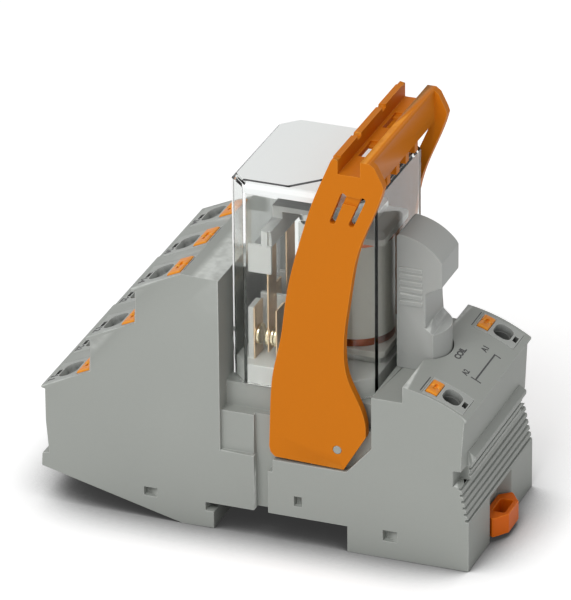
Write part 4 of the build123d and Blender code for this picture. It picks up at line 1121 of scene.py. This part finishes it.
@dataclass
class SocketBody(Assembly):
    """The socket housing with its hidden metal parts and the foot latch."""

    def build(self) -> None:
        """Build and dress the housing."""
        self.shop.stand_in("socket_housing", "socket", HOUSING_GREY, Rounding.SOFT)
        self.shop.dress("clamp_springs", SPRING_STEEL)
        self.shop.dress("current_bars", TINNED_COPPER)
        self.shop.dress("blade_clips", CONTACT_BRONZE)
        self.shop.stand_in("foot_latch", "latch", LATCH_ORANGE, Rounding.SOFT)


@dataclass
class Bracket(Assembly):
    """The orange bracket that holds the relay down and lifts it out."""

    def build(self) -> None:
        """Build and dress the bracket."""
        self.shop.stand_in("retaining_bracket", "bracket", BRACKET_ORANGE, Rounding.FINE, split=False)


@dataclass
class CoilWinding(Assembly):
    """The wound coil: rings of enamelled wire by Geometry Nodes, and tape. Sizes in millimetres."""

    centre_x: float = 12.0
    foot_z: float = 40.5
    top_z: float = 67.9
    radius: float = 8.45
    wire: float = 0.42
    wire_bite: float = 1.02
    tape: float = 0.12
    tape_steps: int = 96
    tape_overlap: int = 4
    tape_lift: Point = (0.6, 0.8)
    tape_end: float = 1.9
    bare_end: float = 1.7

    @staticmethod
    def tree(material: bpy.types.Material) -> Tree:
        """Return the node tree that stacks the turns of wire.

        Args:
            material: The wire's finish.

        Returns:
            The geometry node tree, with inputs for its sizes in metres.
        """
        tree = bpy.data.node_groups.new("wire_turns", "GeometryNodeTree")
        for label, kind, value in (
            ("Turns", "NodeSocketInt", 40),
            ("Pitch", "NodeSocketFloat", 0.0005),
            ("Radius", "NodeSocketFloat", 0.008),
            ("Wire Radius", "NodeSocketFloat", 0.0002),
            ("Foot", "NodeSocketVector", (0.0, 0.0, 0.0)),
        ):
            tree.interface.new_socket(label, in_out="INPUT", socket_type=kind).default_value = value
        tree.interface.new_socket("Geometry", in_out="OUTPUT", socket_type="NodeSocketGeometry")
        desk = Wiring(tree)
        given = desk.add("NodeGroupInput").outputs
        circle = "GeometryNodeCurvePrimitiveCircle"
        ring = desk.add(circle, {"Resolution": 40, "Radius": given["Radius"]}).outputs["Curve"]
        profile = desk.add(circle, {"Resolution": 6, "Radius": given["Wire Radius"]}).outputs["Curve"]
        turn = desk.add("GeometryNodeCurveToMesh", {"Curve": ring, "Profile Curve": profile}).outputs["Mesh"]
        step = desk.add("ShaderNodeCombineXYZ", {"Z": given["Pitch"]}).outputs["Vector"]
        stack = {"Count": given["Turns"], "Start Location": given["Foot"], "Offset": step}
        points = desk.add("GeometryNodeMeshLine", stack).outputs["Mesh"]
        copies = desk.add("GeometryNodeInstanceOnPoints", {"Points": points, "Instance": turn})
        real = desk.add("GeometryNodeRealizeInstances", {"Geometry": copies.outputs["Instances"]})
        smooth = desk.add("GeometryNodeSetShadeSmooth", {"Geometry": real.outputs["Geometry"]})
        coat = desk.add(
            "GeometryNodeSetMaterial", {"Geometry": smooth.outputs["Geometry"], "Material": material}
        )
        desk.add("NodeGroupOutput", {"Geometry": coat.outputs["Geometry"]})
        return tree

    def wind(self) -> None:
        """Wind the turns of wire onto the plain CAD ring."""
        piece = linked("coil_winding_turns", bpy.data.meshes.new("coil_winding_turns"))
        self.shop.dress("coil_winding", WIRE_ENAMEL)
        tree = self.tree(self.shop.finishes[WIRE_ENAMEL.name])
        turns = int((self.top_z - self.foot_z) / self.wire)
        modifier = piece.modifiers.new("turns", "NODES")
        modifier.node_group = tree
        sizes = {
            "Turns": turns,
            "Pitch": (self.top_z - self.foot_z) / turns * MM,
            "Radius": (self.radius - self.wire / 2) * MM,
            "Wire Radius": self.wire / 2 * self.wire_bite * MM,
            "Foot": (self.centre_x * MM, 0.0, (self.foot_z + self.wire / 2) * MM),
        }
        for socket in tree.interface.items_tree:
            if socket.in_out == "INPUT" and socket.name in sizes:
                modifier[socket.identifier] = sizes[socket.name]
        applied(piece)
        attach(piece, "relay")
        LOG.info("wound %d turns", turns)

    def wrap(self) -> None:
        """Wrap the middle of the winding in insulating tape, with its free end stuck down on the outside."""
        low, high = self.foot_z + self.bare_end, self.top_z - self.bare_end
        start, growth = self.tape_lift
        bm = bmesh.new()
        rows = []
        for i in range(self.tape_steps + self.tape_overlap + 1):
            share = i / self.tape_steps
            turn = 2 * math.pi * share + self.tape_end
            reach = self.radius + self.tape * (start + growth * share)
            x = self.centre_x + reach * math.cos(turn)
            y = reach * math.sin(turn)
            rows.append([bm.verts.new((x * MM, y * MM, z * MM)) for z in (low, high)])
        for near, far in zip(rows, rows[1:]):
            bm.faces.new((near[0], far[0], far[1], near[1]))
        piece = placed_mesh("winding_tape", bm)
        thickened(piece, self.tape / 2)
        piece.data.shade_smooth()
        piece.data.set_sharp_from_angle(angle=math.radians(40))
        self.shop.added(piece, "relay", TAPE_CREAM, "relay_white")

    def build(self) -> None:
        """Build the winding."""
        self.wind()
        self.wrap()


@dataclass
class Relay(Assembly):
    """The clear plug-in relay with everything inside it. Sizes in millimetres."""

    top_z: float = 84.3
    label_edge: Point = (-8.5, 17.9)
    label_front: float = -18.1
    label_back_to: float = -18.62
    cover_front: float = -19.5
    cover_edge: float = 0.9
    rim_drop: float = 0.25
    label_sink: float = 0.02
    fold_depth: float = 2.4
    paper: float = 0.1
    chevron: tuple[Point, ...] = ((-9.2, -17.6), (1.7, -17.6), (7.9, -11.55), (21.2, 2.2))
    chevron_line: float = 0.95

    def fold_label(self) -> None:
        """Fold the top label over the cover's front edge."""
        rim_z = self.top_z - self.rim_drop
        line = [
            (0.0, self.label_front, self.top_z - self.label_sink),
            (0.0, self.label_back_to, rim_z),
            (self.cover_edge / 2, self.cover_front, rim_z - self.cover_edge),
            (self.cover_edge / 2, self.cover_front, self.top_z - self.fold_depth),
        ]
        low, high = self.label_edge
        bm = bmesh.new()
        near = [bm.verts.new(((low - out) * MM, y * MM, z * MM)) for out, y, z in line]
        far = [bm.verts.new(((high + out) * MM, y * MM, z * MM)) for out, y, z in line]
        for i in range(len(line) - 1):
            bm.faces.new((near[i], near[i + 1], far[i + 1], far[i]))
        bmesh.ops.recalc_face_normals(bm, faces=bm.faces)
        if bm.faces[:][0].normal.y > 0:
            bmesh.ops.reverse_faces(bm, faces=bm.faces)
        piece = placed_mesh("label_fold", bm)
        thickened(piece, self.paper)
        rounded(piece, Rounding.CRISP, angle=20.0)
        self.shop.added(piece, "relay", LABEL_WHITE, "label_white")

    def print_label(self) -> None:
        """Print the plain chevron line on the top label."""
        top = Place((0, 0, self.top_z), (1, 0, 0), (0, 1, 0))
        lines = [stroke(a, b, self.chevron_line) for a, b in zip(self.chevron, self.chevron[1:])]
        self.shop.added(printed_lines("label_chevron", lines, top), "relay", BLACK_INK, "label_white")

    def build(self) -> None:
        """Build and dress the relay."""
        self.shop.stand_in("relay_cover", "relay", COVER_CLEAR, Rounding.FINE)
        self.shop.stand_in("relay_label", "relay", LABEL_WHITE, Rounding.CRISP)
        self.shop.stand_in("relay_base", "relay", RELAY_WHITE, Rounding.SOFT)
        self.shop.stand_in("contact_carrier", "contact_drive", RELAY_WHITE, Rounding.FINE)
        self.shop.stand_in("coil_bobbin", "relay", BOBBIN_WHITE, Rounding.FINE, split=False)
        self.shop.dress("relay_blades", TINNED_COPPER)
        for node in ("fixed_leaves", "moving_leaves"):
            self.shop.dress(node, CONTACT_BRONZE)
        for node in ("open_contacts", "closed_contacts"):
            self.shop.stand_in(node, "relay", CONTACT_SILVER, Rounding.FINE)
        self.shop.stand_in("moving_contacts", "contact_drive", CONTACT_SILVER, Rounding.FINE)
        for node in ("yoke", "iron_core"):
            self.shop.stand_in(node, "relay", ZINC_STEEL, Rounding.FINE)
        self.shop.stand_in("armature", "contact_drive", ZINC_STEEL, Rounding.FINE)
        self.shop.dress("return_spring", SPRING_STEEL)
        CoilWinding(self.shop).build()
        self.fold_label()
        self.print_label()


@dataclass
class IndicatorModule(Assembly):
    """The plug-in indicator module."""

    def build(self) -> None:
        """Build and dress the module."""
        self.shop.stand_in("module_case", "module", MODULE_GREY, Rounding.FULL, segments=3)
        self.shop.dress("module_base", MODULE_GREY)
        self.shop.dress("module_pins", TINNED_COPPER)
        self.shop.dress("module_board", BOARD_GREEN)
        self.shop.dress("module_diode", DIODE_BLACK)
        self.shop.dress("module_lamp", LAMP_CLEAR)


@dataclass(frozen=True)
class SoftLamp:
    """A soft square lamp that points at the object, with its place and side in metres."""

    name: str
    spot: Spot
    size: float
    level: float
    target: Spot = (0, 0, 0.04)

    def hang(self) -> None:
        """Hang the lamp, so that a facing surface gets its level of full brightness."""
        light = bpy.data.lights.new(self.name, "AREA")
        light.shape = "SQUARE"
        light.size = self.size
        aim = Vector(self.target) - Vector(self.spot)
        light.energy = self.level * math.pi * math.pi * aim.length_squared
        turn = aim.to_track_quat("-Z", "Y").to_matrix().to_4x4()
        linked(self.name, light).matrix_world = Matrix.Translation(self.spot) @ turn


@dataclass
class Studio:
    """The pale floor, the soft lamps and the camera."""

    groups: SurfaceGroups
    floor_z: float = -6.8
    floor_half: float = 4.0
    surround: float = 0.43
    azimuth: float = 21.0
    elevation: float = 26.4
    roll: float = -0.525
    focal_pixels: float = 6712.0
    frame_height: float = 600.0
    sensor: float = 36.0
    clip: Point = (0.05, 20.0)
    position: Spot = (508.62, -1340.62, 758.01)
    lamps: tuple[SoftLamp, ...] = (
        SoftLamp("key", (-0.2, -1.15, 1.35), size=0.9, level=0.52),
        SoftLamp("fill", (0.1, -1.6, 0.7), size=1.4, level=0.06),
    )

    def floor(self) -> None:
        """Lay the floor."""
        bm = bmesh.new()
        bmesh.ops.create_grid(bm, x_segments=2, y_segments=2, size=self.floor_half)
        bmesh.ops.translate(bm, verts=bm.verts, vec=(0, 0, self.floor_z * MM))
        made = placed_mesh("floor", bm)
        made.data.materials.append(FloorPaper("floor_paper").material(self.groups))

    def world(self) -> None:
        """Set an even surrounding light that the camera sees as white."""
        world = bpy.data.worlds.new("studio")
        bpy.context.scene.world = world
        world.use_nodes = True
        desk = Wiring(world.node_tree)
        strength = desk.ranged(background_seen(desk), (0.0, 1.0), (self.surround, 1.0))
        desk.fill(world.node_tree.nodes["Background"], {"Color": (1, 1, 1, 1), "Strength": strength})

    def camera(self) -> None:
        """Set the camera at the photograph's place."""
        a, e, r = (math.radians(v) for v in (self.azimuth, self.elevation, self.roll))
        back = Vector((math.sin(a) * math.cos(e), -math.cos(a) * math.cos(e), math.sin(e)))
        right = Vector((0, 0, 1)).cross(back).normalized()
        up = back.cross(right)
        x = right * math.cos(r) + up * math.sin(r)
        y = up * math.cos(r) - right * math.sin(r)
        data = bpy.data.cameras.new("photo_camera")
        data.sensor_fit = "VERTICAL"
        data.sensor_height = self.sensor
        data.sensor_width = self.sensor
        data.lens = self.focal_pixels * self.sensor / self.frame_height
        data.clip_start, data.clip_end = self.clip
        made = linked("photo_camera", data)
        turn = Matrix((x, y, back)).transposed().to_4x4()
        made.matrix_world = Matrix.Translation(Vector(self.position) * MM) @ turn
        bpy.context.scene.camera = made

    def build(self) -> None:
        """Set the whole studio up."""
        bpy.context.scene.view_settings.view_transform = "Standard"
        self.floor()
        self.world()
        for lamp in self.lamps:
            lamp.hang()
        self.camera()


def main() -> None:
    """Build the studio and every sub-assembly."""
    logging.basicConfig(level=logging.INFO, format="%(message)s")
    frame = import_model()
    shop = Workshop(frame)
    Studio(shop.groups).build()
    for assembly in (SocketBody, TerminalStair, CoilBlock, Bracket, Relay, IndicatorModule):
        assembly(shop).build()


if __name__ == "__main__":
    main()
